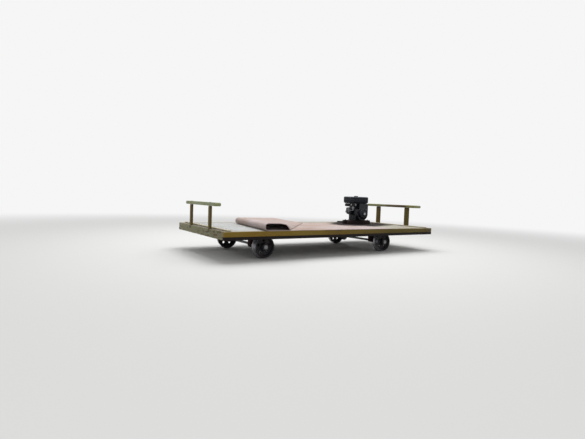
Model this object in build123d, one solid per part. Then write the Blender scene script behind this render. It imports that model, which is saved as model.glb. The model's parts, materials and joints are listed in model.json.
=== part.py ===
from build123d import *
from math import cos, hypot, pi, radians, sin, sqrt
import os

# Motor rail trolley with a bamboo deck that lifts off two loose wheelsets.
# Millimetres. X runs along the track, the engine end at +X. Y runs across the track, the belt side at +Y.
# Z is up from the lowest point of the wheel flanges. The origin is under the middle of the deck.

# Deck plan
deck_length = 3315
deck_width = 1450

# Side beams and the dark rails below them
side_beam_thickness = 45
side_beam_height = 58
under_rail_setback = 5
under_rail_height = 34

# End beams
end_beam_thickness = 50

# Stringers that carry the cross beams and hold the saddles
stringer_width = 60
stringer_height = 40

# Cross beams: one near the plain end, one each side of each wheelset, more between, and one at the posts
cross_beam_width = 60
cross_beam_height = 46
first_beam_inset = 200
wheel_beam_clearance = 6
slot_beam_gap = 15
middle_beam_count = 3

# Bamboo slats
slat_width = 44
slat_gap = 6
slat_thickness = 14
slat_panel_count = 3
slat_end_gap = 10
slat_above_side_beam = 2
tie_strip_width = 30
tie_strip_thickness = 4
end_batten_width = 45
end_batten_thickness = 10

# End rails
plain_post_width = 50
engine_post_width = 80
post_thickness = 30
post_spacing = 600
plain_rail_length = 950
engine_rail_length = 1070
plain_rail_over_deck = 292
engine_rail_over_deck = 322
top_rail_height = 40
top_rail_width = 70
top_rail_end_radius = 18
post_notch_depth = 38
post_foot_below_deck = 60
post_clearance = 2

# Running gear
rail_gauge = 1000
flange_play = 8
tread_radius = 125
flange_height = 15
flange_thickness = 22
flange_bevel = 7
tread_width = 62
rim_thickness = 20
web_thickness = 14
hub_radius = 42
hub_length = 100
web_hole_count = 5
web_hole_radius = 16
front_axle_from_plain_end = 587.5
rear_axle_from_engine_end = 807.5
axle_radius = 15
axle_end_past_hub = 13
collar_radius = 24
collar_width = 14
seat_clearance = 0.05

# Bearing blocks and the saddles that drop over them
hub_to_collar_gap = 22
bearing_length = 70
bearing_height = 80
bearing_width = 50
bearing_chamfer = 12
bearing_bore_clearance = 0.05
bearing_side_play = 1
saddle_length = 260
saddle_width = 70
saddle_over_seat = 56
saddle_leg_below_seat = 54
saddle_side_clearance = 6
saddle_corner_radius = 24

# Drive pulleys and belt
pulley_to_collar_gap = 43
axle_pulley_radius = 60
axle_pulley_width = 34
axle_pulley_hub_radius = 28
axle_pulley_hub_length = 24
engine_pulley_radius = 40
engine_pulley_width = 34
groove_depth = 12
groove_mouth = 18
groove_floor = 8
belt_width = 17
belt_thickness = 11
belt_slack = 10
belt_fold_radius = 66
belt_from_posts = 420
belt_from_side = 165
belt_slot_clearance = 22

# Engine
engine_past_axle = 135
pulley_to_boss_gap = 14
bearer_length = 450
bearer_width = 50
bearer_height = 60
bearer_spacing = 100
crank_height = 106
foot_length = 210
foot_width = 150
foot_thickness = 12
crankcase_length = 180
crankcase_width = 160
crankcase_height = 172
crankcase_radius = 22
side_cover_inset = 8
side_cover_thickness = 5
side_cover_radius = 30
cover_boss_radius = 44
cover_boss_length = 14
shaft_radius = 10
shaft_past_pulley = 8
shaft_inside = 42
shaft_clearance = 0.05
cylinder_tilt = 15
cylinder_width = 104
cylinder_start = 70
cylinder_length = 96
fin_count = 7
fin_thickness = 4
fin_depth = 12
valve_cover_length = 30
valve_cover_size = 84
valve_cover_radius = 14
fan_radius = 104
fan_width = 58
cowl_height = 66
cowl_past_case = 46
cowl_from_air_cleaner = 6
cowl_radius = 20
starter_radius = 80
starter_width = 34
starter_hub_radius = 34
starter_hub_width = 10
starter_slot_count = 12
starter_slot_width = 8
starter_slot_length = 26
starter_slot_depth = 17
grip_radius = 9
grip_length = 30
grip_gap = 0.3
bracket_thickness = 24
bracket_width = 112
bracket_spacing = 90
tank_length = 287
tank_width = 268
tank_height = 100
tank_radius = 20
tank_seam_reach = 4
tank_seam_thickness = 3
tank_shift_x = -28
tank_cap_radius = 30
tank_cap_height = 10
tank_neck_radius = 24
tank_neck_height = 2
air_cleaner_length = 86
air_cleaner_width = 100
air_cleaner_height = 48
air_cleaner_radius = 14
muffler_length = 84
muffler_width = 96
muffler_height = 46
muffler_radius = 12
intake_neck_radius = 20
exhaust_neck_radius = 16
carburettor_length = 32
carburettor_height = 28
carburettor_clearance = 2
throat_length = 10
float_bowl_height = 26
side_unit_inset = 6
side_unit_spacing = 8
side_unit_over_fins = 13
under_tank_gap = 6
pipe_inset = 4
pipe_spacing = 52

# Mat on the deck, with its plain end folded over on a slant
mat_thickness = 8
mat_clearance = 0.3
mat_near_end_inset = 823
mat_far_end_inset = 957
mat_far_edge_inset = 305
mat_crease_inset = 485
mat_crease_slant = 186
mat_sheet_under_fold = 50
fold_crease_roundness = 0.42
fold_flap_roundness = 0.27
fold_crest_radius = 60
fold_near = {"high": 86, "crest": 180, "crest_high": 80, "width": 320, "flap_high": 66, "flap_wall": 8}
fold_far = {"high": 80, "crest": 640, "crest_high": 76, "width": 1118, "flap_high": 16, "flap_wall": 80}

# Heights that follow from the sizes above
axle_z = tread_radius + flange_height
seat_z = axle_z + bearing_height / 2
stringer_z = seat_z + saddle_over_seat
cross_beam_z = stringer_z + stringer_height
tie_strip_z = cross_beam_z + cross_beam_height
slat_z = tie_strip_z + tie_strip_thickness
deck_z = slat_z + slat_thickness
side_beam_top_z = deck_z - slat_above_side_beam
side_beam_z = side_beam_top_z - side_beam_height
under_rail_z = side_beam_z - under_rail_height

# Places along the deck that follow from the sizes above
half_length = deck_length / 2
end_inner_x = half_length - end_beam_thickness
slat_end_x = end_inner_x - slat_end_gap
front_axle_x = -half_length + front_axle_from_plain_end
rear_axle_x = half_length - rear_axle_from_engine_end
engine_x = rear_axle_x + engine_past_axle
plain_post_x = -half_length + post_thickness / 2
engine_post_x = end_inner_x - post_thickness / 2

# Places across the deck that follow from the sizes above
half_width = deck_width / 2
inner_y = half_width - side_beam_thickness
under_inner_y = inner_y + under_rail_setback
slat_pitch = slat_width + slat_gap
slats_per_panel = int((2 * inner_y + slat_gap) // slat_pitch // slat_panel_count)
flange_radius = tread_radius + flange_height
wheel_inner_y = rail_gauge / 2 - flange_play - flange_thickness
wheel_outer_y = wheel_inner_y + flange_thickness + tread_width
hub_inner_y = (wheel_inner_y + wheel_outer_y - hub_length) / 2
hub_outer_y = hub_inner_y + hub_length
axle_half_length = hub_outer_y + axle_end_past_hub
collar_reach = bearing_width / 2 + bearing_side_play + collar_width
bearing_y = hub_inner_y - hub_to_collar_gap - collar_reach
pulley_y = bearing_y - collar_reach - pulley_to_collar_gap - axle_pulley_width / 2
engine_y = pulley_y - engine_pulley_width / 2 - pulley_to_boss_gap - cover_boss_length - crankcase_width / 2

# The engine's heights, and the belt that joins its pulley to the axle's
base_z = deck_z + bearer_height
crank_z = base_z + crank_height
casing_top_z = base_z + crankcase_height
lean = radians(cylinder_tilt)
fin_top_z = crank_z + (cylinder_start + cylinder_length) * sin(lean) + cylinder_width / 2 * cos(lean)
side_unit_z = fin_top_z + side_unit_over_fins
tank_z = side_unit_z + air_cleaner_height + under_tank_gap
tank_x = engine_x + tank_shift_x
side_unit_x = tank_x - tank_length / 2 + side_unit_inset
pulley_centres = hypot(engine_x - rear_axle_x, crank_z - axle_z)
wrap_radii = axle_pulley_radius + engine_pulley_radius - belt_thickness
belt_length = 2 * pulley_centres + pi * wrap_radii + belt_slack

SIDES = {"off_side": -1, "belt_side": 1}
AXLES = {"front": front_axle_x, "rear": rear_axle_x}

parts = {}


def block(x, y, z):
    """A box from three (low, high) pairs."""
    sizes = [high - low for low, high in (x, y, z)]
    middles = [(low + high) / 2 for low, high in (x, y, z)]
    return Pos(*middles) * Box(*sizes)


def span(middle, size):
    """The (low, high) pair of a size about its middle."""
    return (middle - size / 2, middle + size / 2)


def across(radius, y, x, z):
    """A round bar along Y, from y[0] to y[1]."""
    return Pos(x, (y[0] + y[1]) / 2, z) * Rot(90, 0, 0) * Cylinder(radius, abs(y[1] - y[0]))


def turned(profile, x, z):
    """A solid turned about a line along Y, from (radius, y) points."""
    face = make_face(Polyline(*[(radius, y, 0) for radius, y in profile], close=True))
    return Pos(x, 0, z) * revolve(face, Axis.Y)


def side_frame():
    """Yellow side beams, and the dark rails that they stand on."""
    length = (-half_length, half_length)
    for side, sign in SIDES.items():
        beam_y = sorted((sign * half_width, sign * inner_y))
        rail_y = sorted((sign * half_width, sign * under_inner_y))
        parts[f"side_beam_{side}"] = block(length, beam_y, (side_beam_z, side_beam_top_z))
        parts[f"under_rail_{side}"] = block(length, rail_y, (under_rail_z, side_beam_z))


def post_y(sign, width, room=0):
    """The (low, high) pair of a post across the deck."""
    return span(sign * post_spacing / 2, width + 2 * room)


def end_beams():
    """End beams between the side frames, the plain one notched for its posts."""
    for end, sign in {"plain_end": -1, "engine_end": 1}.items():
        x = sorted((sign * half_length, sign * end_inner_x))
        beam = block(x, (-inner_y, inner_y), (side_beam_z, side_beam_top_z))
        beam += block(x, (-under_inner_y, under_inner_y), (under_rail_z, side_beam_z))
        if end == "plain_end":
            notch_x = span(plain_post_x, post_thickness)
            notch_z = (side_beam_top_z - post_notch_depth, side_beam_top_z)
            for post_sign in SIDES.values():
                beam -= block(notch_x, post_y(post_sign, plain_post_width), notch_z)
        parts[f"end_beam_{end}"] = beam


def belt_slot():
    """The (low, high) pair along X of the belt's two runs where they pass through the deck."""
    rise = crank_z - axle_z
    slope = rise / pulley_centres
    edges = []
    for z, sign in ((cross_beam_z, -1), (deck_z, 1)):
        share = (z - axle_z) / rise
        middle = rear_axle_x + (engine_x - rear_axle_x) * share
        radius = axle_pulley_radius + (engine_pulley_radius - axle_pulley_radius) * share
        edges.append(middle + sign * (radius / slope + belt_slot_clearance))
    return edges


def beam_places():
    """The middles of the cross beams along X, clear of the wheels, the belt and the posts."""
    half_beam = cross_beam_width / 2
    beam_rise = cross_beam_z - axle_z
    clear_radius = flange_radius + wheel_beam_clearance
    from_axle = sqrt(max(0, clear_radius ** 2 - beam_rise ** 2)) + half_beam
    slot_start, slot_end = belt_slot()
    before_slot = min(slot_start - slot_beam_gap - half_beam, rear_axle_x - from_axle)
    after_slot = slot_end + slot_beam_gap + half_beam
    last = engine_post_x - post_thickness / 2 - post_clearance - half_beam
    first_middle = front_axle_x + from_axle
    step = (before_slot - first_middle) / (middle_beam_count + 1)
    middle = [first_middle + step * n for n in range(middle_beam_count + 1)]
    first = [-half_length + first_beam_inset, front_axle_x - from_axle]
    return first + middle + [before_slot, after_slot, (after_slot + last) / 2, last]


def bearers():
    """Stringers along the deck and the cross beams on them."""
    for side, sign in SIDES.items():
        y = span(sign * bearing_y, stringer_width)
        parts[f"stringer_{side}"] = block((-end_inner_x, end_inner_x), y, (stringer_z, cross_beam_z))
    beams = [
        block(span(x, cross_beam_width), (-inner_y, inner_y), (cross_beam_z, tie_strip_z))
        for x in beam_places()
    ]
    parts["cross_beams"] = Compound(children=beams)


def post_holes(z):
    """The room that the engine posts take from what lies on the deck's end, between two heights."""
    x = (engine_post_x - post_thickness / 2 - post_clearance, slat_end_x)
    return [block(x, post_y(sign, engine_post_width, post_clearance), z) for sign in SIDES.values()]


def slats():
    """Bamboo slats along the deck, in three panels tied over the cross beams."""
    slot = block(belt_slot(), span(pulley_y, slat_pitch), (tie_strip_z, deck_z))
    panel_pitch = slats_per_panel * slat_pitch
    for index, name in enumerate(("off_side", "middle", "belt_side")):
        middle = (index - 1) * panel_pitch
        first = middle - (slats_per_panel - 1) / 2 * slat_pitch
        panel = [
            block((-slat_end_x, slat_end_x), span(first + n * slat_pitch, slat_width), (slat_z, deck_z))
            for n in range(slats_per_panel)
        ]
        ties = [
            block(span(x, tie_strip_width), span(middle, panel_pitch - slat_gap), (tie_strip_z, slat_z))
            for x in beam_places()
        ]
        parts[f"slats_{name}"] = Part() + panel + ties - slot - post_holes((tie_strip_z, deck_z))


def end_battens():
    """Flat battens over the slat ends, the engine one notched for the posts."""
    z = (deck_z, deck_z + end_batten_thickness)
    for end, sign in {"plain_end": -1, "engine_end": 1}.items():
        x = sorted((sign * slat_end_x, sign * (slat_end_x - end_batten_width)))
        parts[f"end_batten_{end}"] = block(x, (-inner_y, inner_y), z)
    parts["end_batten_engine_end"] -= post_holes(z)


def end_rails():
    """A pair of posts and a top rail across each end."""
    plain_foot_z = side_beam_top_z - post_notch_depth
    engine_foot_z = deck_z - post_foot_below_deck
    plain_rail_x = -half_length + top_rail_width / 2
    end_rail("plain_end", plain_post_x, plain_post_width, plain_foot_z, plain_rail_x,
             plain_rail_length, deck_z + plain_rail_over_deck)
    end_rail("engine_end", engine_post_x, engine_post_width, engine_foot_z, engine_post_x,
             engine_rail_length, deck_z + engine_rail_over_deck)


def end_rail(end, post_x, post_width, foot_z, rail_x, length, top_z):
    """Two posts and the flat rail on them, with its ends rounded below and above."""
    rail_z = top_z - top_rail_height
    posts = [
        block(span(post_x, post_thickness), post_y(sign, post_width), (foot_z, rail_z))
        for sign in SIDES.values()
    ]
    parts[f"end_posts_{end}"] = Compound(children=posts)
    rail = block(span(rail_x, top_rail_width), span(0, length), (rail_z, top_z))
    parts[f"top_rail_{end}"] = fillet(rail.edges().filter_by(Axis.X), top_rail_end_radius)


def saddles():
    """Timber saddles under the stringers, open below to drop over the bearing blocks."""
    notch = bearing_length + 2 * saddle_side_clearance
    for axle, x in AXLES.items():
        for side, sign in SIDES.items():
            y = span(sign * bearing_y, saddle_width)
            foot_z = seat_z - saddle_leg_below_seat
            saddle = block(span(x, saddle_length), y, (foot_z, stringer_z))
            corners = saddle.edges().filter_by(Axis.Y).sort_by(Axis.Z)[:2]
            saddle = fillet(corners, saddle_corner_radius)
            saddle -= block(span(x, notch), y, (foot_z, seat_z))
            parts[f"saddle_{axle}_{side}"] = saddle


def bearing_blocks():
    """Flat-topped bearing blocks that hang on the axles."""
    for axle, x in AXLES.items():
        for side, sign in SIDES.items():
            y = span(sign * bearing_y, bearing_width)
            body = block(span(x, bearing_length), y, span(axle_z, bearing_height))
            low = body.edges().filter_by(Axis.Y).sort_by(Axis.Z)[:2]
            body = chamfer(low, bearing_chamfer)
            body -= across(axle_radius + bearing_bore_clearance, y, x, axle_z)
            parts[f"bearing_{axle}_{side}"] = body


def wheel(sign):
    """One flanged wheel, turned about its axle, with round holes in its web."""
    rim_bore = tread_radius - rim_thickness
    flange_y = wheel_inner_y + flange_thickness
    web_y = (wheel_inner_y + wheel_outer_y) / 2
    bore = axle_radius + seat_clearance
    profile = [
        (bore, hub_inner_y),
        (hub_radius, hub_inner_y),
        (hub_radius, web_y - web_thickness / 2),
        (rim_bore, web_y - web_thickness / 2),
        (rim_bore, wheel_inner_y),
        (flange_radius - flange_bevel, wheel_inner_y),
        (flange_radius, wheel_inner_y + flange_bevel),
        (flange_radius, flange_y - flange_bevel),
        (tread_radius, flange_y),
        (tread_radius, wheel_outer_y),
        (rim_bore, wheel_outer_y),
        (rim_bore, web_y + web_thickness / 2),
        (hub_radius, web_y + web_thickness / 2),
        (hub_radius, hub_outer_y),
        (bore, hub_outer_y),
    ]
    solid = turned([(radius, sign * y) for radius, y in profile], 0, 0)
    ring = (hub_radius + rim_bore) / 2
    for n in range(web_hole_count):
        angle = 2 * pi * n / web_hole_count
        solid -= across(web_hole_radius, span(sign * web_y, hub_length), ring * sin(angle), ring * cos(angle))
    return solid


def wheelsets():
    """Axles with their collars, and a wheel at each end."""
    for axle, x in AXLES.items():
        shaft = across(axle_radius, (-axle_half_length, axle_half_length), x, axle_z)
        for sign in SIDES.values():
            inner = (bearing_y - collar_reach, bearing_y - collar_reach + collar_width)
            outer = (bearing_y + collar_reach - collar_width, bearing_y + collar_reach)
            end = (hub_outer_y, axle_half_length)
            for collar in (inner, outer, end):
                shaft += across(collar_radius, sorted((sign * collar[0], sign * collar[1])), x, axle_z)
        parts[f"axle_{axle}"] = shaft
        for side, sign in SIDES.items():
            parts[f"wheel_{axle}_{side}"] = Pos(x, 0, axle_z) * wheel(sign)


def grooved(radius, width, bore, x, z):
    """A pulley with one V groove about pulley_y."""
    floor = radius - groove_depth
    profile = [
        (bore, pulley_y - width / 2),
        (radius, pulley_y - width / 2),
        (radius, pulley_y - groove_mouth / 2),
        (floor, pulley_y - groove_floor / 2),
        (floor, pulley_y + groove_floor / 2),
        (radius, pulley_y + groove_mouth / 2),
        (radius, pulley_y + width / 2),
        (bore, pulley_y + width / 2),
    ]
    return turned(profile, x, z)


def drive():
    """Axle pulley, engine pulley with its shaft, and the belt laid by on the deck."""
    bore = axle_radius + seat_clearance
    pulley = grooved(axle_pulley_radius, axle_pulley_width, bore, rear_axle_x, axle_z)
    face_y = pulley_y - axle_pulley_width / 2
    hub_y = (face_y - axle_pulley_hub_length, face_y)
    hub = across(axle_pulley_hub_radius, hub_y, rear_axle_x, axle_z)
    hub -= across(bore, hub_y, rear_axle_x, axle_z)
    parts["axle_pulley"] = pulley + hub

    shaft_start = engine_y + crankcase_width / 2 - shaft_inside
    shaft_end = pulley_y + engine_pulley_width / 2 + shaft_past_pulley
    parts["output_shaft"] = across(shaft_radius, (shaft_start, shaft_end), engine_x, crank_z)
    seat = shaft_radius + seat_clearance
    parts["engine_pulley"] = grooved(engine_pulley_radius, engine_pulley_width, seat, engine_x, crank_z)

    straight = belt_length / 2 - pi * belt_fold_radius
    middle = Plane((engine_post_x - belt_from_posts, half_width - belt_from_side, deck_z + mat_clearance))
    outer = SlotCenterToCenter(straight, 2 * belt_fold_radius + belt_thickness)
    inner = SlotCenterToCenter(straight, 2 * belt_fold_radius - belt_thickness)
    parts["drive_belt"] = middle * extrude(outer - inner, belt_width)


def cylinder_place():
    """Where the cylinder points from the crank, towards -X and tilted up."""
    return Pos(engine_x, engine_y, crank_z) * Rot(0, cylinder_tilt, 0)


def engine_body():
    """Timber bearers, crankcase, tilted cylinder and its cover."""
    timbers = [
        block(span(engine_x, bearer_length), span(y, bearer_width), (deck_z, base_z))
        for y in span(engine_y, bearer_spacing)
    ]
    parts["engine_bearers"] = Compound(children=timbers)

    case = block(span(engine_x, crankcase_length), span(engine_y, crankcase_width), (base_z, casing_top_z))
    case = fillet(case.edges().filter_by(Axis.Y), crankcase_radius)
    case += block(span(engine_x, foot_length), span(engine_y, foot_width), (base_z, base_z + foot_thickness))
    face_y = engine_y + crankcase_width / 2
    cover_x = span(engine_x, crankcase_length - 2 * side_cover_inset)
    cover_z = (base_z + foot_thickness, casing_top_z - side_cover_inset)
    cover = block(cover_x, (face_y, face_y + side_cover_thickness), cover_z)
    case += fillet(cover.edges().filter_by(Axis.Y), side_cover_radius)
    case += across(cover_boss_radius, (face_y, face_y + cover_boss_length), engine_x, crank_z)
    bore_y = (face_y - shaft_inside, face_y + cover_boss_length)
    case -= across(shaft_radius + shaft_clearance, bore_y, engine_x, crank_z)
    parts["crankcase"] = case

    tilt = cylinder_place()
    core_size = cylinder_width - 2 * fin_depth
    core = block((-cylinder_start - cylinder_length, -cylinder_start), span(0, core_size), span(0, core_size))
    pitch = cylinder_length / fin_count
    for n in range(fin_count):
        x = -cylinder_start - pitch * (n + 0.5)
        if x + fin_thickness / 2 < -crankcase_length / 2 - fin_thickness:
            core += block(span(x, fin_thickness), span(0, cylinder_width), span(0, cylinder_width))
    cylinder = tilt * core
    parts["cylinder"] = cylinder - parts["crankcase"]

    end = -cylinder_start - cylinder_length
    cover = block((end - valve_cover_length, end), span(0, valve_cover_size), span(0, valve_cover_size))
    cover = fillet(cover.edges().filter_by(Axis.X), valve_cover_radius)
    parts["valve_cover"] = tilt * cover


def fan_and_starter():
    """Fan housing with its cowl up to the tank and over the cylinder, and the starter with its grip."""
    case_y = engine_y - crankcase_width / 2
    fan_y = (case_y - fan_width, case_y)
    cowl_x = (engine_x - crankcase_length / 2 - cowl_past_case, engine_x)
    housing = across(fan_radius, fan_y, engine_x, crank_z)
    housing += block(cowl_x, fan_y, (crank_z, crank_z + cowl_height))
    upper_x = (side_unit_x + air_cleaner_length + cowl_from_air_cleaner, engine_x + fan_radius)
    upper = block(upper_x, fan_y, (crank_z, tank_z - under_tank_gap))
    housing += fillet(upper.edges().filter_by(Axis.Y).group_by(Axis.Z)[-1], cowl_radius)
    parts["fan_housing"] = housing

    drum_y = (fan_y[0] - starter_width, fan_y[0])
    starter = across(starter_radius, drum_y, engine_x, crank_z)
    starter += across(starter_hub_radius, (drum_y[0] - starter_hub_width, drum_y[0]), engine_x, crank_z)
    slot_x = span((starter_radius + starter_hub_radius) / 2, starter_slot_length)
    slot = block(slot_x, (drum_y[0], drum_y[0] + starter_slot_depth), span(0, starter_slot_width))
    for n in range(starter_slot_count):
        starter -= Pos(engine_x, 0, crank_z) * Rot(0, n * 360 / starter_slot_count, 0) * slot
    parts["starter"] = starter

    reach = starter_radius + grip_radius + grip_gap
    grip_x = engine_x - reach * cos(lean)
    grip_z = crank_z + reach * sin(lean)
    parts["starter_grip"] = across(grip_radius, span(sum(drum_y) / 2, grip_length), grip_x, grip_z)


def tank():
    """Fuel tank with its seam, on two brackets, and its cap."""
    brackets = [
        block(span(x, bracket_thickness), span(engine_y, bracket_width), (casing_top_z, tank_z))
        for x in span(engine_x, bracket_spacing)
    ]
    parts["tank_brackets"] = Compound(children=brackets)
    top_z = tank_z + tank_height
    body = block(span(tank_x, tank_length), span(engine_y, tank_width), (tank_z, top_z))
    seam_x = span(tank_x, tank_length + 2 * tank_seam_reach)
    seam_y = span(engine_y, tank_width + 2 * tank_seam_reach)
    seam = block(seam_x, seam_y, span((tank_z + top_z) / 2, tank_seam_thickness))
    seam = fillet(seam.edges().filter_by(Axis.Z), tank_radius + tank_seam_reach)
    neck = Pos(tank_x, engine_y, top_z + tank_neck_height / 2) * Cylinder(tank_neck_radius, tank_neck_height)
    parts["fuel_tank"] = fillet(body.edges(), tank_radius) + seam + neck
    cap_z = top_z + tank_neck_height + tank_cap_height / 2
    parts["fuel_cap"] = Pos(tank_x, engine_y, cap_z) * Cylinder(tank_cap_radius, tank_cap_height)


def side_units():
    """Air cleaner and muffler, side by side under the tank, each on its pipe."""
    cleaner_y = (engine_y - side_unit_spacing / 2 - air_cleaner_width, engine_y - side_unit_spacing / 2)
    cleaner_z = (side_unit_z, side_unit_z + air_cleaner_height)
    cleaner = block((side_unit_x, side_unit_x + air_cleaner_length), cleaner_y, cleaner_z)
    cleaner = fillet(cleaner.edges(), air_cleaner_radius)
    cleaner += standpipe(side_unit_x + air_cleaner_length, -1, intake_neck_radius)
    parts["air_cleaner"] = cleaner
    muffler_y = (engine_y + side_unit_spacing / 2, engine_y + side_unit_spacing / 2 + muffler_width)
    muffler_z = (side_unit_z, side_unit_z + muffler_height)
    muffler = block((side_unit_x, side_unit_x + muffler_length), muffler_y, muffler_z)
    muffler = fillet(muffler.edges(), muffler_radius)
    muffler += standpipe(side_unit_x + muffler_length, 1, exhaust_neck_radius)
    parts["muffler"] = muffler
    carburettor()


def carburettor():
    """Carburettor under the air cleaner, between the cowl and the fins, with its throat and float bowl."""
    cowl_y = engine_y - crankcase_width / 2
    fins_y = engine_y - cylinder_width / 2
    y = (cowl_y + carburettor_clearance, fins_y - carburettor_clearance)
    middle_y = sum(y) / 2
    radius = (y[1] - y[0]) / 2
    x = side_unit_x + air_cleaner_radius + radius
    top_z = side_unit_z - throat_length
    foot_z = top_z - carburettor_height
    body = block(span(x, carburettor_length), y, (foot_z, top_z))
    body += Pos(x, middle_y, side_unit_z - throat_length / 2) * Cylinder(radius, throat_length)
    body += Pos(x, middle_y, foot_z - float_bowl_height / 2) * Cylinder(radius, float_bowl_height)
    parts["carburettor"] = body


def standpipe(unit_end_x, sign, radius):
    """An upright pipe from under a unit down onto the top edges of the cylinder's fins."""
    x = unit_end_x - radius - pipe_inset
    y = engine_y + sign * pipe_spacing / 2
    pipe = Pos(x, y, (crank_z + side_unit_z) / 2) * Cylinder(radius, side_unit_z - crank_z)
    reach = 2 * (cylinder_start + cylinder_length + valve_cover_length)
    under_fins = block((-reach, reach), (-reach, reach), (-reach, cylinder_width / 2))
    return pipe - cylinder_place() * under_fins


def fold_outline(size, inset):
    """(along, up, radius) of each corner of the fold's outline, in from its outer face by a wall."""
    flap_wall = size["flap_wall"] if inset else 0
    slope = (size["crest_high"] - size["flap_high"]) / (size["width"] - size["crest"])
    flap_x = size["width"] - flap_wall
    flap_top = size["flap_high"] + slope * flap_wall - inset
    crease_radius = fold_crease_roundness * (size["high"] - 2 * inset)
    flap_radius = fold_flap_roundness * (flap_top - inset)
    return [
        (inset, inset, crease_radius),
        (inset, size["high"] - inset, crease_radius),
        (size["crest"], size["crest_high"] - inset, fold_crest_radius),
        (flap_x, flap_top, flap_radius),
        (flap_x, inset, flap_radius),
    ]


def fold_section(size, inset, x, y, z):
    """The fold's outline as a face that looks along Y."""
    outline = fold_outline(size, inset)
    corners = [Vector(x + along, y, z + up) for along, up, _ in outline]
    radii = [radius for _, _, radius in outline]
    return make_face(FilletPolyline(*corners, radius=radii, close=True))


def fold_cuts(size, x):
    """The ends of the fold's four panels along one edge: its bend, two flats and its flap's end."""
    outline = fold_outline(size, mat_thickness)
    bend_x, _, bend_radius = outline[0]
    flap_x, _, flap_radius = outline[3]
    places = [0, bend_x + bend_radius, size["crest"], flap_x - flap_radius, size["width"]]
    return [x + place for place in places]


def mat():
    """Thin mat over the slats: its sheet, and its plain end folded over in a loose loop of four panels."""
    z = deck_z + mat_clearance
    near_y = -half_width
    far_y = half_width - mat_far_edge_inset
    near_x = -half_length + mat_crease_inset
    far_x = near_x + mat_crease_slant
    corners = [
        (near_x + mat_sheet_under_fold, near_y),
        (half_length - mat_near_end_inset, near_y),
        (half_length - mat_far_end_inset, far_y),
        (far_x + mat_sheet_under_fold, far_y),
    ]
    sheet = extrude(Pos(0, 0, z) * make_face(Polyline(*corners, close=True)), mat_thickness)
    tubes = []
    for inset in (0, mat_thickness):
        near = fold_section(fold_near, inset, near_x, near_y, z)
        far = fold_section(fold_far, inset, far_x, far_y, z)
        tubes.append(loft([near, far], ruled=True))
    outer, inner = tubes
    fold = outer - inner
    layer = block((-half_length, half_length), (near_y, far_y), (z, z + mat_thickness))
    parts["deck_mat"] = sheet + (outer & layer)

    near_cuts = fold_cuts(fold_near, near_x)
    far_cuts = fold_cuts(fold_far, far_x)
    height = max(fold_near["high"], fold_far["high"])
    for n, panel in enumerate(("crease", "fold_top", "fold_slope", "fold_edge")):
        corners = [
            (near_cuts[n], near_y),
            (near_cuts[n + 1], near_y),
            (far_cuts[n + 1], far_y),
            (far_cuts[n], far_y),
        ]
        room = extrude(Pos(0, 0, z + mat_thickness) * make_face(Polyline(*corners, close=True)), height)
        parts[f"mat_{panel}"] = fold & room


side_frame()
end_beams()
bearers()
slats()
end_battens()
end_rails()
saddles()
bearing_blocks()
wheelsets()
drive()
engine_body()
fan_and_starter()
tank()
side_units()
mat()

os.makedirs("parts", exist_ok=True)
for name, solid in parts.items():
    export_step(solid, f"parts/{name}.step")
    print(name, round(solid.volume))
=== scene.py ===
"""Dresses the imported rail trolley: its timber frame, bamboo deck, wheelsets, engine, mat and belt."""

import json
import logging
import math
import random
from contextlib import contextmanager
from dataclasses import dataclass, field
from enum import Enum
from typing import Any, Callable, Iterator, Optional, Sequence, Union

import bmesh
import bpy
from mathutils import Matrix, Vector, noise


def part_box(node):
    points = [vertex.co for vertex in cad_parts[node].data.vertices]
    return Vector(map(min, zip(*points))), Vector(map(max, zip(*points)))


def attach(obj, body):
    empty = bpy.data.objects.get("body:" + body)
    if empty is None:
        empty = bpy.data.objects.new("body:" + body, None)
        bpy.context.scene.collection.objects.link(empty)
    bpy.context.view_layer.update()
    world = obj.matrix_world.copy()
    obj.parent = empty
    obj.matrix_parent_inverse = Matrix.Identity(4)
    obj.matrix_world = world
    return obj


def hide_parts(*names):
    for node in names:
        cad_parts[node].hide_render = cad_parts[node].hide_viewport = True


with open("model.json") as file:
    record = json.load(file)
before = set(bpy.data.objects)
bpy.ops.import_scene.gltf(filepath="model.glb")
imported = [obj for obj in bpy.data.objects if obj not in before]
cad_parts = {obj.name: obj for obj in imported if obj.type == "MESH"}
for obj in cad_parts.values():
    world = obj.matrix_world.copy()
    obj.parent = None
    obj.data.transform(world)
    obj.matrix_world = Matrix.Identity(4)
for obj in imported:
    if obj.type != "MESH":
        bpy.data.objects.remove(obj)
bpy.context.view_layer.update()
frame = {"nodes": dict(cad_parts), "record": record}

log = logging.getLogger("trolley")

Piece = bpy.types.Object
Colour = tuple[float, float, float]
Socket = bpy.types.NodeSocket
Feed = Union[float, Sequence[float], Socket]
Box = tuple[Vector, Vector]
Spots = Sequence[tuple[Sequence[float], Sequence[float]]]


class Kind(Enum):
    """What edit mode selects."""

    VERTS = "VERT"
    EDGES = "EDGE"
    FACES = "FACE"


class Axis(Enum):
    """A direction of the part's frame."""

    X = Vector((1.0, 0.0, 0.0))
    Y = Vector((0.0, 1.0, 0.0))
    Z = Vector((0.0, 0.0, 1.0))


class Side(Enum):
    """The two long sides of the deck, with the sign of their Y."""

    OFF = ("off_side", -1)
    BELT = ("belt_side", 1)

    @property
    def label(self) -> str:
        """The side's name in the nodes."""
        return self.value[0]

    @property
    def sign(self) -> int:
        """The sign of the side's Y."""
        return self.value[1]


class End(Enum):
    """The two ends of the deck, with the sign of their X and the finish of their beam."""

    PLAIN = ("plain_end", -1, "khaki end")
    ENGINE = ("engine_end", 1, "yellow end")

    @property
    def label(self) -> str:
        """The end's name in the nodes."""
        return self.value[0]

    @property
    def sign(self) -> int:
        """The sign of the end's X."""
        return self.value[1]

    @property
    def beam_finish(self) -> str:
        """The finish of the end's beam."""
        return self.value[2]


# Modelling helpers


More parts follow.
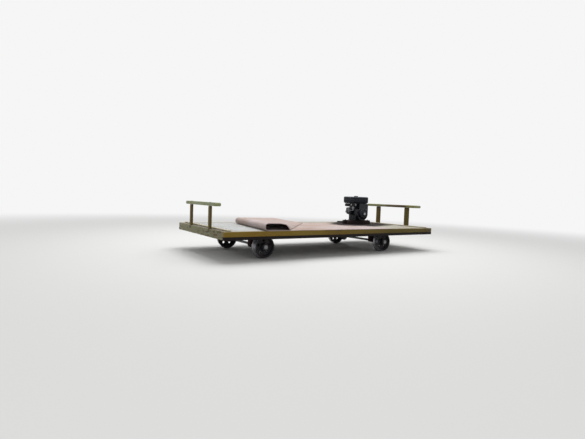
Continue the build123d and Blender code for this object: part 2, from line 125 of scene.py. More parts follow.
def clear_selection() -> None:
    """Deselects every object."""
    bpy.ops.object.select_all(action="DESELECT")


def activate(piece: Piece) -> None:
    """Makes one piece the only one selected, and active.

    Args:
        piece: The piece.
    """
    clear_selection()
    piece.select_set(True)
    bpy.context.view_layer.objects.active = piece


@contextmanager
def editing(piece: Piece) -> Iterator[None]:
    """Opens a piece in edit mode with nothing selected.

    Args:
        piece: The piece to edit.
    """
    activate(piece)
    bpy.ops.object.mode_set(mode="EDIT")
    bpy.ops.mesh.select_mode(type="VERT")
    bpy.ops.mesh.select_all(action="DESELECT")
    try:
        yield
    finally:
        bpy.ops.object.mode_set(mode="OBJECT")


def pick(piece: Piece, kind: Kind, rule: Callable[[Any], bool]) -> int:
    """Selects the elements of an open piece that a rule accepts.

    Args:
        piece: The piece that is open in edit mode.
        kind: Verts, edges or faces.
        rule: Says whether an element is wanted.

    Returns:
        How many were selected.
    """
    bpy.ops.mesh.select_mode(type=kind.value)
    bpy.ops.mesh.select_all(action="DESELECT")
    shape = bmesh.from_edit_mesh(piece.data)
    groups = {Kind.VERTS: shape.verts, Kind.EDGES: shape.edges, Kind.FACES: shape.faces}
    wanted = [element for element in groups[kind] if rule(element)]
    for element in wanted:
        element.select_set(True)
    bmesh.update_edit_mesh(piece.data)
    return len(wanted)


def settle(piece: Piece) -> Piece:
    """Puts a piece's place into its mesh, with its object at the origin.

    Args:
        piece: The piece.

    Returns:
        The same piece.
    """
    activate(piece)
    bpy.ops.object.transform_apply(location=True, rotation=True, scale=True)
    return piece


def add_block(low: Sequence[float], high: Sequence[float]) -> Piece:
    """Adds a cube at its size and place, to be shaped further.

    Args:
        low: Its lowest corner.
        high: Its highest corner.

    Returns:
        The new piece.
    """
    clear_selection()
    near, far = Vector(low), Vector(high)
    bpy.ops.mesh.primitive_cube_add(size=1.0, location=(near + far) / 2, scale=far - near)
    return settle(bpy.context.object)


def centred_block(start: float, end: float, half: float) -> Piece:
    """Adds a block from start to end along X, which reaches as far as half to each side of it."""
    return add_block((start, -half, -half), (end, half, half))


def add_bar(radius: float, start: Sequence[float], end: Sequence[float], sides: int = 32) -> Piece:
    """Adds a cylinder from one point to another, to be shaped further.

    Args:
        radius: Its radius.
        start: The middle of one end.
        end: The middle of the other end.
        sides: How many sides it has.

    Returns:
        The new piece.
    """
    clear_selection()
    near, far = Vector(start), Vector(end)
    turn = (far - near).to_track_quat("Z", "Y").to_euler()
    bpy.ops.mesh.primitive_cylinder_add(
        vertices=sides, radius=radius, depth=(far - near).length, location=(near + far) / 2, rotation=turn
    )
    return settle(bpy.context.object)


def add_turned(outline: Sequence[tuple[float, float]], middle: Sequence[float], steps: int = 64) -> Piece:
    """Draws an outline by extruding a point and spins it about a line along Y.

    Args:
        outline: (radius, distance along Y) of each corner, in order round the section.
        middle: A point on the line, from which the distances count.
        steps: How many steps the spin takes.

    Returns:
        The new piece.
    """
    clear_selection()
    centre = Vector(middle)
    corners = [centre + Vector((radius, reach, 0.0)) for radius, reach in outline]
    bpy.ops.mesh.primitive_plane_add(size=0.01, location=corners[0])
    piece = settle(bpy.context.object)
    with editing(piece):
        bpy.ops.mesh.select_all(action="SELECT")
        bpy.ops.mesh.merge(type="CENTER")
        for before, after in zip(corners, corners[1:]):
            bpy.ops.mesh.extrude_vertices_move(TRANSFORM_OT_translate={"value": after - before})
        if (corners[0] - corners[-1]).length > 1e-6 and min(outline[0][0], outline[-1][0]) > 1e-6:
            pick(piece, Kind.VERTS, lambda vert: len(vert.link_edges) == 1)
            bpy.ops.mesh.edge_face_add()
        bpy.ops.mesh.select_all(action="SELECT")
        bpy.ops.mesh.spin(steps=steps, angle=2 * math.pi, center=centre, axis=(0.0, 1.0, 0.0))
        bpy.ops.mesh.select_all(action="SELECT")
        bpy.ops.mesh.remove_doubles(threshold=1e-5)
        bpy.ops.mesh.normals_make_consistent(inside=False)
    return piece


def apply(piece: Piece, kind: str, **settings: Any) -> Piece:
    """Adds a modifier and applies it.

    Args:
        piece: The piece.
        kind: The modifier's type.
        settings: Its settings, by name.

    Returns:
        The same piece.
    """
    activate(piece)
    modifier = piece.modifiers.new(kind.lower(), kind)
    for key, value in settings.items():
        setattr(modifier, key, value)
    bpy.ops.object.modifier_apply(modifier=modifier.name)
    return piece


def soften(piece: Piece, width: float, segments: int = 2, angle: float = 35.0) -> Piece:
    """Rounds a piece's edges that are sharper than an angle, in degrees."""
    return apply(
        piece, "BEVEL", width=width, segments=segments, limit_method="ANGLE", angle_limit=math.radians(angle),
        harden_normals=False,
    )


def roughen(piece: Piece, depth: float, scale: float, name: str) -> Piece:
    """Wears a piece's surface inwards by a soft noise.

    Args:
        piece: The piece.
        depth: How deep the wear goes.
        scale: The noise's size.
        name: The noise's name, so that like pieces share it.

    Returns:
        The same piece.
    """
    texture = bpy.data.textures.get(name) or bpy.data.textures.new(name, "CLOUDS")
    texture.noise_scale = scale
    return apply(piece, "DISPLACE", texture=texture, texture_coords="LOCAL", strength=depth, mid_level=1.0)


def smooth(piece: Piece, angle: float = 35.0) -> Piece:
    """Shades a piece smooth up to an angle, in degrees."""
    activate(piece)
    bpy.ops.object.shade_smooth_by_angle(angle=math.radians(angle))
    return piece


def copied(source: Piece, place: Matrix) -> Piece:
    """Copies a piece with its own mesh.

    Args:
        source: The piece to copy.
        place: Where the copy goes, from the source's place.

    Returns:
        The copy.
    """
    twin = source.copy()
    twin.data = source.data.copy()
    twin.data.transform(place)
    bpy.context.scene.collection.objects.link(twin)
    return twin


def joined(pieces: Sequence[Piece]) -> Piece:
    """Joins pieces in one.

    Args:
        pieces: The pieces, of which the first is kept.

    Returns:
        The joined piece.
    """
    clear_selection()
    for piece in pieces:
        piece.select_set(True)
    bpy.context.view_layer.objects.active = pieces[0]
    if len(pieces) > 1:
        bpy.ops.object.join()
    return pieces[0]


def carved(piece: Piece, tools: Sequence[Piece]) -> Piece:
    """Cuts tools out of a piece and deletes them.

    Args:
        piece: The piece that is cut.
        tools: Closed shapes to take away.

    Returns:
        The same piece.
    """
    for tool in tools:
        apply(piece, "BOOLEAN", operation="DIFFERENCE", object=tool, solver="EXACT")
        bpy.data.objects.remove(tool)
    return piece


def discard(piece: Piece) -> None:
    """Deletes a pattern piece after its copies are made."""
    bpy.data.objects.remove(piece)


def along(axis: Axis) -> Callable[[Any], bool]:
    """A rule that accepts the edges along an axis."""
    return lambda edge: abs((edge.verts[1].co - edge.verts[0].co).normalized().dot(axis.value)) > 0.99


def towards(direction: Sequence[float]) -> Callable[[Any], bool]:
    """A rule that accepts the faces that look in a direction."""
    ahead = Vector(direction)
    return lambda face: face.normal.dot(ahead) > 0.998


def rounded(piece: Piece, axis: Axis, radius: float, segments: int = 5) -> Piece:
    """Rounds the corners of a fresh block that run along an axis.

    Args:
        piece: The block.
        axis: The axis.
        radius: The corners' radius.
        segments: How many faces each has.

    Returns:
        The same piece.
    """
    with editing(piece):
        pick(piece, Kind.EDGES, along(axis))
        bpy.ops.mesh.bevel(offset=radius, segments=segments)
    return piece


def pressed(piece: Piece, direction: Sequence[float], steps: Sequence[tuple[float, float]]) -> Piece:
    """Insets the faces that look in a direction, and raises or sinks them.

    Args:
        piece: The piece.
        direction: Where the faces look.
        steps: (inset, rise) of each step.

    Returns:
        The same piece.
    """
    with editing(piece):
        pick(piece, Kind.FACES, towards(direction))
        for inset, rise in steps:
            bpy.ops.mesh.inset(thickness=inset, depth=rise)
    return piece


def bisected(piece: Piece, point: Sequence[float], normal: Sequence[float]) -> None:
    """Cuts a piece with a plane, keeps the part behind it and closes the cut.

    Args:
        piece: The piece.
        point: A point on the plane.
        normal: Points towards the part that goes.
    """
    with editing(piece):
        bpy.ops.mesh.select_all(action="SELECT")
        bpy.ops.mesh.bisect(plane_co=point, plane_no=normal, use_fill=True, clear_outer=True)


def ribbed(piece: Piece, every: int, inset: float, depth: float) -> Piece:
    """Sinks faces round an upright bar, so that ribs are left between them.

    Args:
        piece: The bar.
        every: 2 sinks every second face, 4 every fourth.
        inset: How far each sunk face stands in from its edges.
        depth: How deep it is sunk.

    Returns:
        The same piece.
    """
    with editing(piece):
        pick(piece, Kind.FACES, lambda face: abs(face.normal.z) < 0.1 and face.index % every == 0)
        bpy.ops.mesh.inset(thickness=inset, depth=-depth, use_individual=True)
    return piece


def moved(piece: Piece, place: Sequence[float], angle: float, axis: Axis) -> Piece:
    """Turns a piece about the origin, then moves it.

    Args:
        piece: The piece.
        place: Where the origin goes.
        angle: The turn, in degrees.
        axis: What it turns about.

    Returns:
        The same piece.
    """
    turn = Matrix.Rotation(math.radians(angle), 4, axis.name)
    piece.data.transform(Matrix.Translation(place) @ turn)
    return piece


def facing(place: Sequence[float], direction: Sequence[float], spin: float = 0.0) -> Matrix:
    """The placing of what was made at the origin and pointing up, the spin in degrees."""
    turn = Vector(direction).to_track_quat("Z", "Y").to_matrix().to_4x4()
    return Matrix.Translation(Vector(place)) @ turn @ Matrix.Rotation(math.radians(spin), 4, "Z")


def around(centre: Vector, radius: float, degrees: float) -> tuple[float, float]:
    """X and Z of a point on a circle about a line along Y."""
    angle = math.radians(degrees)
    return centre.x + radius * math.cos(angle), centre.z + radius * math.sin(angle)


def between(start: float, end: float, share: float) -> float:
    """The value that lies a share of the way from one to another."""
    return start + (end - start) * share


def outer(node: str, sign: int) -> Vector:
    """The highest corner of a node's box, or the lowest where the sign is -1."""
    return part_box(node)[(sign + 1) // 2]


def solids_of(node: str) -> list[Box]:
    """The boxes of a CAD node's separate solids.

    Args:
        node: The node's name.

    Returns:
        The lowest and highest corner of each, sorted.
    """
    mesh = frame["nodes"][node].data
    spots: dict[tuple[float, ...], int] = {}
    parent = list(range(len(mesh.vertices)))

    def root(index: int) -> int:
        """The first vertex of an index's group."""
        while parent[index] != index:
            parent[index] = parent[parent[index]]
            index = parent[index]
        return index

    for vert in mesh.vertices:
        spot = tuple(round(value, 5) for value in vert.co)
        parent[root(vert.index)] = root(spots.setdefault(spot, vert.index))
    for edge in mesh.edges:
        parent[root(edge.vertices[0])] = root(edge.vertices[1])
    groups: dict[int, list[Vector]] = {}
    for vert in mesh.vertices:
        groups.setdefault(root(vert.index), []).append(vert.co)
    boxes = []
    for points in groups.values():
        low = Vector([min(point[axis] for point in points) for axis in range(3)])
        high = Vector([max(point[axis] for point in points) for axis in range(3)])
        boxes.append((low, high))
    return sorted(boxes, key=lambda box: tuple(box[0]))


# Shader helpers


class Graph:
    """Adds and joins shader nodes in one tree."""

    def __init__(self, tree: bpy.types.NodeTree) -> None:
        """Keeps the tree to add to."""
        self.tree = tree

    def add(self, kind: str, **settings: Any) -> bpy.types.Node:
        """Adds a node and sets its properties.

        Args:
            kind: The node's type.
            settings: Its properties, by name.

        Returns:
            The node.
        """
        node = self.tree.nodes.new(kind)
        for key, value in settings.items():
            setattr(node, key, value)
        return node

    def feed(self, target: Socket, value: Feed) -> None:
        """Gives an input a plain value, or joins a socket to it."""
        if isinstance(value, bpy.types.NodeSocket):
            self.tree.links.new(value, target)
        elif target.type == "RGBA" and len(value) == 3:
            target.default_value = (*value, 1.0)
        else:
            target.default_value = value

    def math(self, operation: str, first: Feed, second: Feed = 0.0, clamp: bool = False) -> Socket:
        """Works out a sum, product or the like of two values."""
        node = self.add("ShaderNodeMath", operation=operation, use_clamp=clamp)
        self.feed(node.inputs[0], first)
        self.feed(node.inputs[1], second)
        return node.outputs[0]

    def times(self, first: Feed, second: Feed, clamp: bool = False) -> Socket:
        """The product of two values."""
        return self.math("MULTIPLY", first, second, clamp)

    def plus(self, first: Feed, second: Feed) -> Socket:
        """The sum of two values."""
        return self.math("ADD", first, second)

    def mix(self, factor: Feed, first: Feed, second: Feed, blend: str = "MIX") -> Socket:
        """Mixes two colours.

        Args:
            factor: 0 gives the first colour and 1 the second.
            first: The first colour.
            second: The second colour.
            blend: How they are mixed.

        Returns:
            The mixed colour.
        """
        node = self.add("ShaderNodeMix", data_type="RGBA", blend_type=blend, clamp_factor=True)
        self.feed(node.inputs["Factor"], factor)
        self.feed(node.inputs[6], first)
        self.feed(node.inputs[7], second)
        return node.outputs[2]

    def band(
        self, value: Feed, low: float, high: float, out_low: float = 0.0, out_high: float = 1.0
    ) -> Socket:
        """Maps a value from one range to another, smoothly and clamped."""
        node = self.add("ShaderNodeMapRange", interpolation_type="SMOOTHSTEP", clamp=True)
        limits = {"From Min": low, "From Max": high, "To Min": out_low, "To Max": out_high}
        for name, number in limits.items():
            node.inputs[name].default_value = number
        self.feed(node.inputs["Value"], value)
        return node.outputs[0]

    def mapped(
        self, vector: Feed, scale: Sequence[float] = (1, 1, 1), turn: Sequence[float] = (0, 0, 0)
    ) -> Socket:
        """Scales and turns a coordinate, the turn in degrees."""
        node = self.add("ShaderNodeMapping")
        self.feed(node.inputs["Vector"], vector)
        node.inputs["Scale"].default_value = scale
        node.inputs["Rotation"].default_value = [math.radians(angle) for angle in turn]
        return node.outputs[0]

    def noise(
        self, vector: Feed, scale: Feed, detail: float = 3.0, roughness: float = 0.5, twist: float = 0.0
    ) -> Socket:
        """A noise from 0 to 1 at a coordinate."""
        node = self.add("ShaderNodeTexNoise")
        self.feed(node.inputs["Vector"], vector)
        self.feed(node.inputs["Scale"], scale)
        node.inputs["Detail"].default_value = detail
        node.inputs["Roughness"].default_value = roughness
        node.inputs["Distortion"].default_value = twist
        return node.outputs["Fac"]

    def place(self) -> Socket:
        """The object's own coordinates."""
        return self.add("ShaderNodeTexCoord").outputs["Object"]

    def bump(self, height: Feed, strength: float, distance: float) -> Socket:
        """A normal from a height."""
        node = self.add("ShaderNodeBump")
        node.inputs["Strength"].default_value = strength
        node.inputs["Distance"].default_value = distance
        self.feed(node.inputs["Height"], height)
        return node.outputs["Normal"]

    def effect(self, name: str, **inputs: Feed) -> bpy.types.Node:
        """Places one of the shared effects.

        Args:
            name: The effect's name.
            inputs: Its inputs, by name with capitals.

        Returns:
            The group's node.
        """
        node = self.add("ShaderNodeGroup", node_tree=bpy.data.node_groups[name])
        for key, value in inputs.items():
            self.feed(node.inputs[key], value)
        return node

    def mask(self, name: str, **inputs: Feed) -> Socket:
        """Places one of the shared effects, for its mask alone."""
        return self.effect(name, **inputs).outputs["Mask"]


class Effects:
    """Shader groups that more than one finish uses."""

    # Place, reach and turn of the dark patch round the engine: an oil stain with the engine's shadow painted
    # in.
    SPILL_PLACE = (1.06, 0.17, 0.35)
    SPILL_REACH = (0.78, 0.52, 1.0)
    SPILL_TURN = 24.0
    # Where the darkening towards the engine's end starts and ends along X: dirt and painted shade.
    SOILED_FROM, SOILED_TO = -1.4, 1.8

    @staticmethod
    def start(name: str, outputs: Sequence[str], **amounts: float) -> tuple[Graph, Any, Any]:
        """Makes an empty group that takes a vector and plain numbers.

        Args:
            name: The group's name.
            outputs: The names of its float outputs.
            amounts: The plain value of each further input, by name with capitals.

        Returns:
            The graph, its input node and its output node.
        """
        tree = bpy.data.node_groups.new(name, "ShaderNodeTree")
        tree.interface.new_socket("Vector", in_out="INPUT", socket_type="NodeSocketVector")
        for label, value in amounts.items():
            socket = tree.interface.new_socket(label, in_out="INPUT", socket_type="NodeSocketFloat")
            socket.default_value = value
        for label in outputs:
            tree.interface.new_socket(label, in_out="OUTPUT", socket_type="NodeSocketFloat")
        graph = Graph(tree)
        return graph, graph.add("NodeGroupInput"), graph.add("NodeGroupOutput")

    @classmethod
    def grain(cls) -> None:
        """Timber grain along X: broad figure, fine pores and drying cracks."""
        graph, given, out = cls.start("grain", ["Figure", "Pores", "Cracks"])
        place = given.outputs["Vector"]
        figure = graph.noise(graph.mapped(place, (1.4, 19, 19)), 1.0, 5.0, 0.6, 0.5)
        pores = graph.noise(graph.mapped(place, (7, 230, 230)), 1.0, 2.0)
        split = graph.noise(graph.mapped(place, (1.1, 55, 55)), 1.0, 3.0, 0.6)
        graph.feed(out.inputs["Figure"], graph.band(figure, 0.28, 0.72))
        graph.feed(out.inputs["Pores"], graph.band(pores, 0.3, 0.7))
        graph.feed(out.inputs["Cracks"], graph.band(split, 0.66, 0.72))

    @classmethod
    def wear(cls) -> None:
        """Worn patches with ragged edges, over the share of the surface that Amount gives."""
        graph, given, out = cls.start("wear", ["Mask"], Amount=0.2)
        place = given.outputs["Vector"]
        broad = graph.noise(place, 3.1, 3.0)
        ragged = graph.noise(place, 26.0, 7.0, 0.7)
        both = graph.plus(graph.times(broad, 0.55), graph.times(ragged, 0.45))
        level = graph.plus(both, graph.times(given.outputs["Amount"], 0.5))
        graph.feed(out.inputs["Mask"], graph.band(level, 0.60, 0.66))

    @classmethod
    def dust(cls) -> None:
        """Dust that lies on what faces up, thicker in patches; given a pale colour, it also paints light on
        the tops.
        """
        graph, given, out = cls.start("dust", ["Mask"], Amount=0.5)
        normal = graph.add("ShaderNodeNewGeometry").outputs["Normal"]
        apart = graph.add("ShaderNodeSeparateXYZ")
        graph.feed(apart.inputs[0], normal)
        up = graph.band(apart.outputs["Z"], 0.15, 0.95)
        patches = graph.noise(given.outputs["Vector"], 7.0, 5.0, 0.65)
        thick = graph.times(up, graph.band(patches, 0.25, 0.8, 0.35, 1.0))
        graph.feed(out.inputs["Mask"], graph.times(thick, given.outputs["Amount"], clamp=True))

    @classmethod
    def grime(cls) -> None:
        """Oil, soot and rust in soft patches, with a fine speckle."""
        graph, given, out = cls.start("grime", ["Mask", "Speckle"], Amount=0.4, Size=9.0)
        place = given.outputs["Vector"]
        patches = graph.noise(place, given.outputs["Size"], 6.0, 0.62, 0.3)
        level = graph.plus(patches, graph.times(given.outputs["Amount"], 0.4))
        graph.feed(out.inputs["Mask"], graph.band(level, 0.55, 0.82))
        graph.feed(out.inputs["Speckle"], graph.noise(place, 140.0, 3.0, 0.6))

    @classmethod
    def spill(cls) -> None:
        """The ragged dark patch round the engine: partly an oil and soot stain, partly the engine's shadow
        painted on what lies round it.
        """
        graph, given, out = cls.start("spill", ["Mask"])
        place = given.outputs["Vector"]
        spot = graph.add("ShaderNodeMapping", vector_type="TEXTURE")
        graph.feed(spot.inputs["Vector"], place)
        spot.inputs["Location"].default_value = cls.SPILL_PLACE
        spot.inputs["Rotation"].default_value = (0.0, 0.0, math.radians(cls.SPILL_TURN))
        spot.inputs["Scale"].default_value = cls.SPILL_REACH
        distance = graph.add("ShaderNodeVectorMath", operation="LENGTH")
        graph.feed(distance.inputs[0], spot.outputs[0])
        streaks = graph.noise(graph.mapped(place, (3, 9, 9)), 1.0, 6.0, 0.65)
        ragged = graph.band(streaks, 0.2, 0.8, -0.16, 0.16)
        level = graph.plus(distance.outputs["Value"], ragged)
        graph.feed(out.inputs["Mask"], graph.band(level, 0.68, 0.96, 0.97, 0.0))

    @classmethod
    def soiling(cls) -> None:
        """Darker towards the engine's end of the deck, in patches: partly dirt, partly painted shade."""
        graph, given, out = cls.start("soiling", ["Mask"], Amount=0.5)
        apart = graph.add("ShaderNodeSeparateXYZ")
        graph.feed(apart.inputs[0], given.outputs["Vector"])
        nearer = graph.band(apart.outputs["X"], cls.SOILED_FROM, cls.SOILED_TO)
        patches = graph.noise(graph.mapped(given.outputs["Vector"], (1.5, 6, 6)), 1.0, 5.0, 0.6)
        thick = graph.times(nearer, graph.band(patches, 0.25, 0.7, 0.55, 1.0))
        graph.feed(out.inputs["Mask"], graph.times(thick, given.outputs["Amount"], clamp=True))

    @classmethod
    def build(cls) -> None:
        """Makes every shared effect."""
        for effect in (cls.grain, cls.wear, cls.dust, cls.grime, cls.spill, cls.soiling):
            effect()


# Finishes

DUST_COLOUR: Colour = (0.22, 0.185, 0.145)
# Dark colour of the dirt and painted shade towards the engine's end.
SOIL_AND_SHADE_COLOUR: Colour = (0.032, 0.028, 0.003)
# Near-black of the patch round the engine: oil, and painted shadow of the engine.
OIL_AND_SHADOW_COLOUR: Colour = (0.020, 0.015, 0.016)


def start_material(name: str) -> tuple[bpy.types.Material, Graph, bpy.types.Node]:
    """Makes a material.

    Args:
        name: Its name.

    Returns:
        The material, its graph and its Principled shader.
    """
    material = bpy.data.materials.new(name)
    material.use_nodes = True
    graph = Graph(material.node_tree)
    return material, graph, material.node_tree.nodes["Principled BSDF"]


@dataclass(frozen=True)
class TimberFinish:
    """Sawn timber, bare or painted, with its grain along one axis."""

    name: str
    wood: Colour
    dark_wood: Colour
    grain: Axis
    paint: Optional[Colour] = None
    faded: Optional[Colour] = None
    worn: float = 0.2
    dust: float = 0.35
    gloss: float = 0.75
    shine: float = 0.2
    soil: float = 0.0
    dust_colour: Colour = DUST_COLOUR

    def build(self) -> bpy.types.Material:
        """Makes the material.

        Returns:
            The material.
        """
        material, graph, shader = start_material(self.name)
        turns = {Axis.X: (0, 0, 0), Axis.Y: (0, 0, -90), Axis.Z: (0, 90, 0)}
        unturned = graph.place()
        place = graph.mapped(unturned, turn=turns[self.grain])
        grain = graph.effect("grain", Vector=place)
        bare = graph.mix(grain.outputs["Figure"], self.dark_wood, self.wood)
        bare = graph.mix(graph.times(grain.outputs["Pores"], 0.35), bare, self.dark_wood)
        cracks = graph.times(grain.outputs["Cracks"], 0.8)
        colour = graph.mix(cracks, bare, [channel * 0.25 for channel in self.dark_wood])
        height = graph.math("SUBTRACT", graph.times(grain.outputs["Pores"], 0.25), cracks)
        roughness: Feed = self.gloss
        if self.paint:
            fade = graph.noise(place, 2.3, 4.0, 0.6)
            coat = graph.mix(graph.band(fade, 0.35, 0.7), self.paint, self.faded or self.paint)
            coat = graph.mix(graph.times(grain.outputs["Figure"], 0.16), coat, self.dark_wood)
            stretched = graph.mapped(place, (0.35, 1.6, 1.6))
            bared = graph.mask("wear", Vector=stretched, Amount=self.worn)
            bared = graph.math("MAXIMUM", bared, graph.times(cracks, 0.7))
            colour = graph.mix(bared, coat, colour)
            roughness = graph.band(bared, 0.0, 1.0, self.gloss - 0.28, self.gloss)
            height = graph.math("SUBTRACT", graph.times(height, 0.5), graph.times(bared, 0.35))
        # Darker towards the engine's end: dirt, and painted shade.
        if self.soil:
            soiled = graph.mask("soiling", Vector=unturned, Amount=self.soil)
            colour = graph.mix(soiled, colour, SOIL_AND_SHADE_COLOUR)
        # Dust on the upward faces; a pale dust colour also paints light on the tops.
        dust = graph.mask("dust", Vector=place, Amount=self.dust)
        graph.feed(shader.inputs["Base Color"], graph.mix(dust, colour, self.dust_colour))
        graph.feed(shader.inputs["Roughness"], roughness)
        graph.feed(shader.inputs["Normal"], graph.bump(height, 0.55, 0.0016))
        shader.inputs["Specular IOR Level"].default_value = self.shine
        return material


@dataclass(frozen=True)
class BambooFinish:
    """Split bamboo, bleached by weather, each slat with its own tint."""

    name: str = "bleached bamboo"
    pale: Colour = (0.50, 0.52, 0.53)
    warm: Colour = (0.37, 0.35, 0.30)
    stain: Colour = (0.15, 0.14, 0.13)
    soiled: Colour = (0.33, 0.29, 0.19)

    def build(self) -> bpy.types.Material:
        """Makes the material.

        Returns:
            The material.
        """
        material, graph, shader = start_material(self.name)
        place = graph.place()
        tint = graph.add("ShaderNodeAttribute", attribute_name="tint").outputs["Fac"]
        knot = graph.add("ShaderNodeAttribute", attribute_name="knot").outputs["Fac"]
        fibre = graph.noise(graph.mapped(place, (3, 420, 420)), 1.0, 3.0, 0.6)
        streak = graph.noise(graph.mapped(place, (0.9, 34, 34)), 1.0, 4.0, 0.6)
        warmth = graph.plus(graph.times(tint, 0.55), graph.times(streak, 0.5))
        colour = graph.mix(graph.band(warmth, 0.35, 0.95), self.pale, self.warm)
        colour = graph.mix(graph.band(fibre, 0.45, 0.85, 0.0, 0.35), colour, self.stain)
        colour = graph.mix(graph.times(knot, 0.55), colour, self.stain)
        trodden = graph.mask("grime", Vector=graph.mapped(place, (0.5, 1, 1)), Amount=0.15, Size=4.0)
        colour = graph.mix(graph.times(trodden, 0.35), colour, self.stain)
        # Darker and browner towards the engine's end: dirt, and painted shade.
        handled_and_shaded = graph.mask("soiling", Vector=place, Amount=0.85)
        colour = graph.mix(handled_and_shaded, colour, self.soiled)
        # Dark round the engine: oil stain and painted shadow of the engine.
        spill = graph.mask("spill", Vector=place)
        graph.feed(shader.inputs["Base Color"], graph.mix(spill, colour, OIL_AND_SHADOW_COLOUR))
        dry = graph.band(fibre, 0.2, 0.8, 0.42, 0.68)
        graph.feed(shader.inputs["Roughness"], graph.math("MAXIMUM", dry, spill))
        height = graph.plus(fibre, graph.times(streak, 0.8))
        graph.feed(shader.inputs["Normal"], graph.bump(height, 0.4, 0.0009))
        shader.inputs["Specular IOR Level"].default_value = 0.15
        return material


@dataclass(frozen=True)
class IronFinish:
    """Iron or steel: dark, rusty, painted, cast or bright, as its values say."""

    name: str
    metal: Colour
    rust: Colour = (0.17, 0.075, 0.035)
    rusted: float = 0.3
    metallic: float = 0.6
    roughness: float = 0.5
    dust: float = 0.25
    cast: float = 0.3
    shine: float = 0.25

    def build(self) -> bpy.types.Material:
        """Makes the material.

        Returns:
            The material.
        """
        material, graph, shader = start_material(self.name)
        place = graph.place()
        grime = graph.effect("grime", Vector=place, Amount=self.rusted, Size=13.0)
        mask = graph.times(grime.outputs["Mask"], min(1.0, self.rusted * 2.2))
        lighter = [channel * 1.5 + 0.012 for channel in self.metal]
        tone = graph.mix(graph.noise(place, 3.5, 3.0), self.metal, lighter)
        dark_rust = [channel * 0.4 for channel in self.rust]
        colour = graph.mix(mask, tone, graph.mix(grime.outputs["Speckle"], self.rust, dark_rust))
        dust = graph.mask("dust", Vector=place, Amount=self.dust)
        graph.feed(shader.inputs["Base Color"], graph.mix(dust, colour, DUST_COLOUR))
        dull = graph.math("MAXIMUM", mask, dust)
        if self.metallic > 0:
            graph.feed(shader.inputs["Metallic"], graph.band(dull, 0.0, 1.0, self.metallic, 0.0))
        scuffed = graph.noise(place, 60.0, 4.0, 0.6)
        duller = graph.band(dull, 0.0, 1.0, self.roughness, 0.85)
        rough = graph.plus(graph.band(scuffed, 0.2, 0.8, -0.08, 0.1), duller)
        graph.feed(shader.inputs["Roughness"], rough)
        height = graph.plus(graph.times(grime.outputs["Speckle"], self.cast), graph.times(mask, 0.5))
        graph.feed(shader.inputs["Normal"], graph.bump(height, 0.35, 0.0012))
        shader.inputs["Specular IOR Level"].default_value = self.shine
        return material


@dataclass(frozen=True)
class EnamelFinish:
    """Engine enamel or moulded plastic, chipped, oily and dusty; where the dust colour is pale, the tops are
    lighter as painted light.
    """

    name: str
    coat: Colour
    under: Colour = (0.16, 0.15, 0.15)
    chipped: float = 0.1
    roughness: float = 0.32
    clear: float = 0.4
    dust: float = 0.4
    grain: float = 0.1
    shine: float = 0.25
    dust_colour: Colour = DUST_COLOUR

    def build(self) -> bpy.types.Material:
        """Makes the material.

        Returns:
            The material.
        """
        material, graph, shader = start_material(self.name)
        place = graph.place()
        chips = graph.mask("wear", Vector=graph.mapped(place, (3, 3, 3)), Amount=self.chipped)
        oil = graph.effect("grime", Vector=place, Amount=0.35, Size=11.0)
        oily = [channel * 0.35 for channel in self.coat]
        tone = graph.mix(graph.times(oil.outputs["Mask"], 0.6), self.coat, oily)
        colour = graph.mix(chips, tone, self.under)
        # Dust on the upward faces; a pale dust colour also paints light on the tops.
        dust = graph.mask("dust", Vector=place, Amount=self.dust)
        graph.feed(shader.inputs["Base Color"], graph.mix(dust, colour, self.dust_colour))
        dull = graph.math("MAXIMUM", chips, dust)
        smears = graph.noise(place, 38.0, 4.0, 0.6)
        duller = graph.band(dull, 0.0, 1.0, self.roughness, 0.8)
        rough = graph.plus(graph.band(smears, 0.25, 0.8, -0.06, 0.14), duller)
        graph.feed(shader.inputs["Roughness"], rough)
        graph.feed(shader.inputs["Coat Weight"], graph.band(dull, 0.0, 0.6, self.clear, 0.0))
        shader.inputs["Coat Roughness"].default_value = 0.2
        grit = graph.times(oil.outputs["Speckle"], self.grain)
        height = graph.math("SUBTRACT", grit, graph.times(chips, 0.4))
        graph.feed(shader.inputs["Normal"], graph.bump(height, 0.3, 0.0008))
        shader.inputs["Specular IOR Level"].default_value = self.shine
        return material


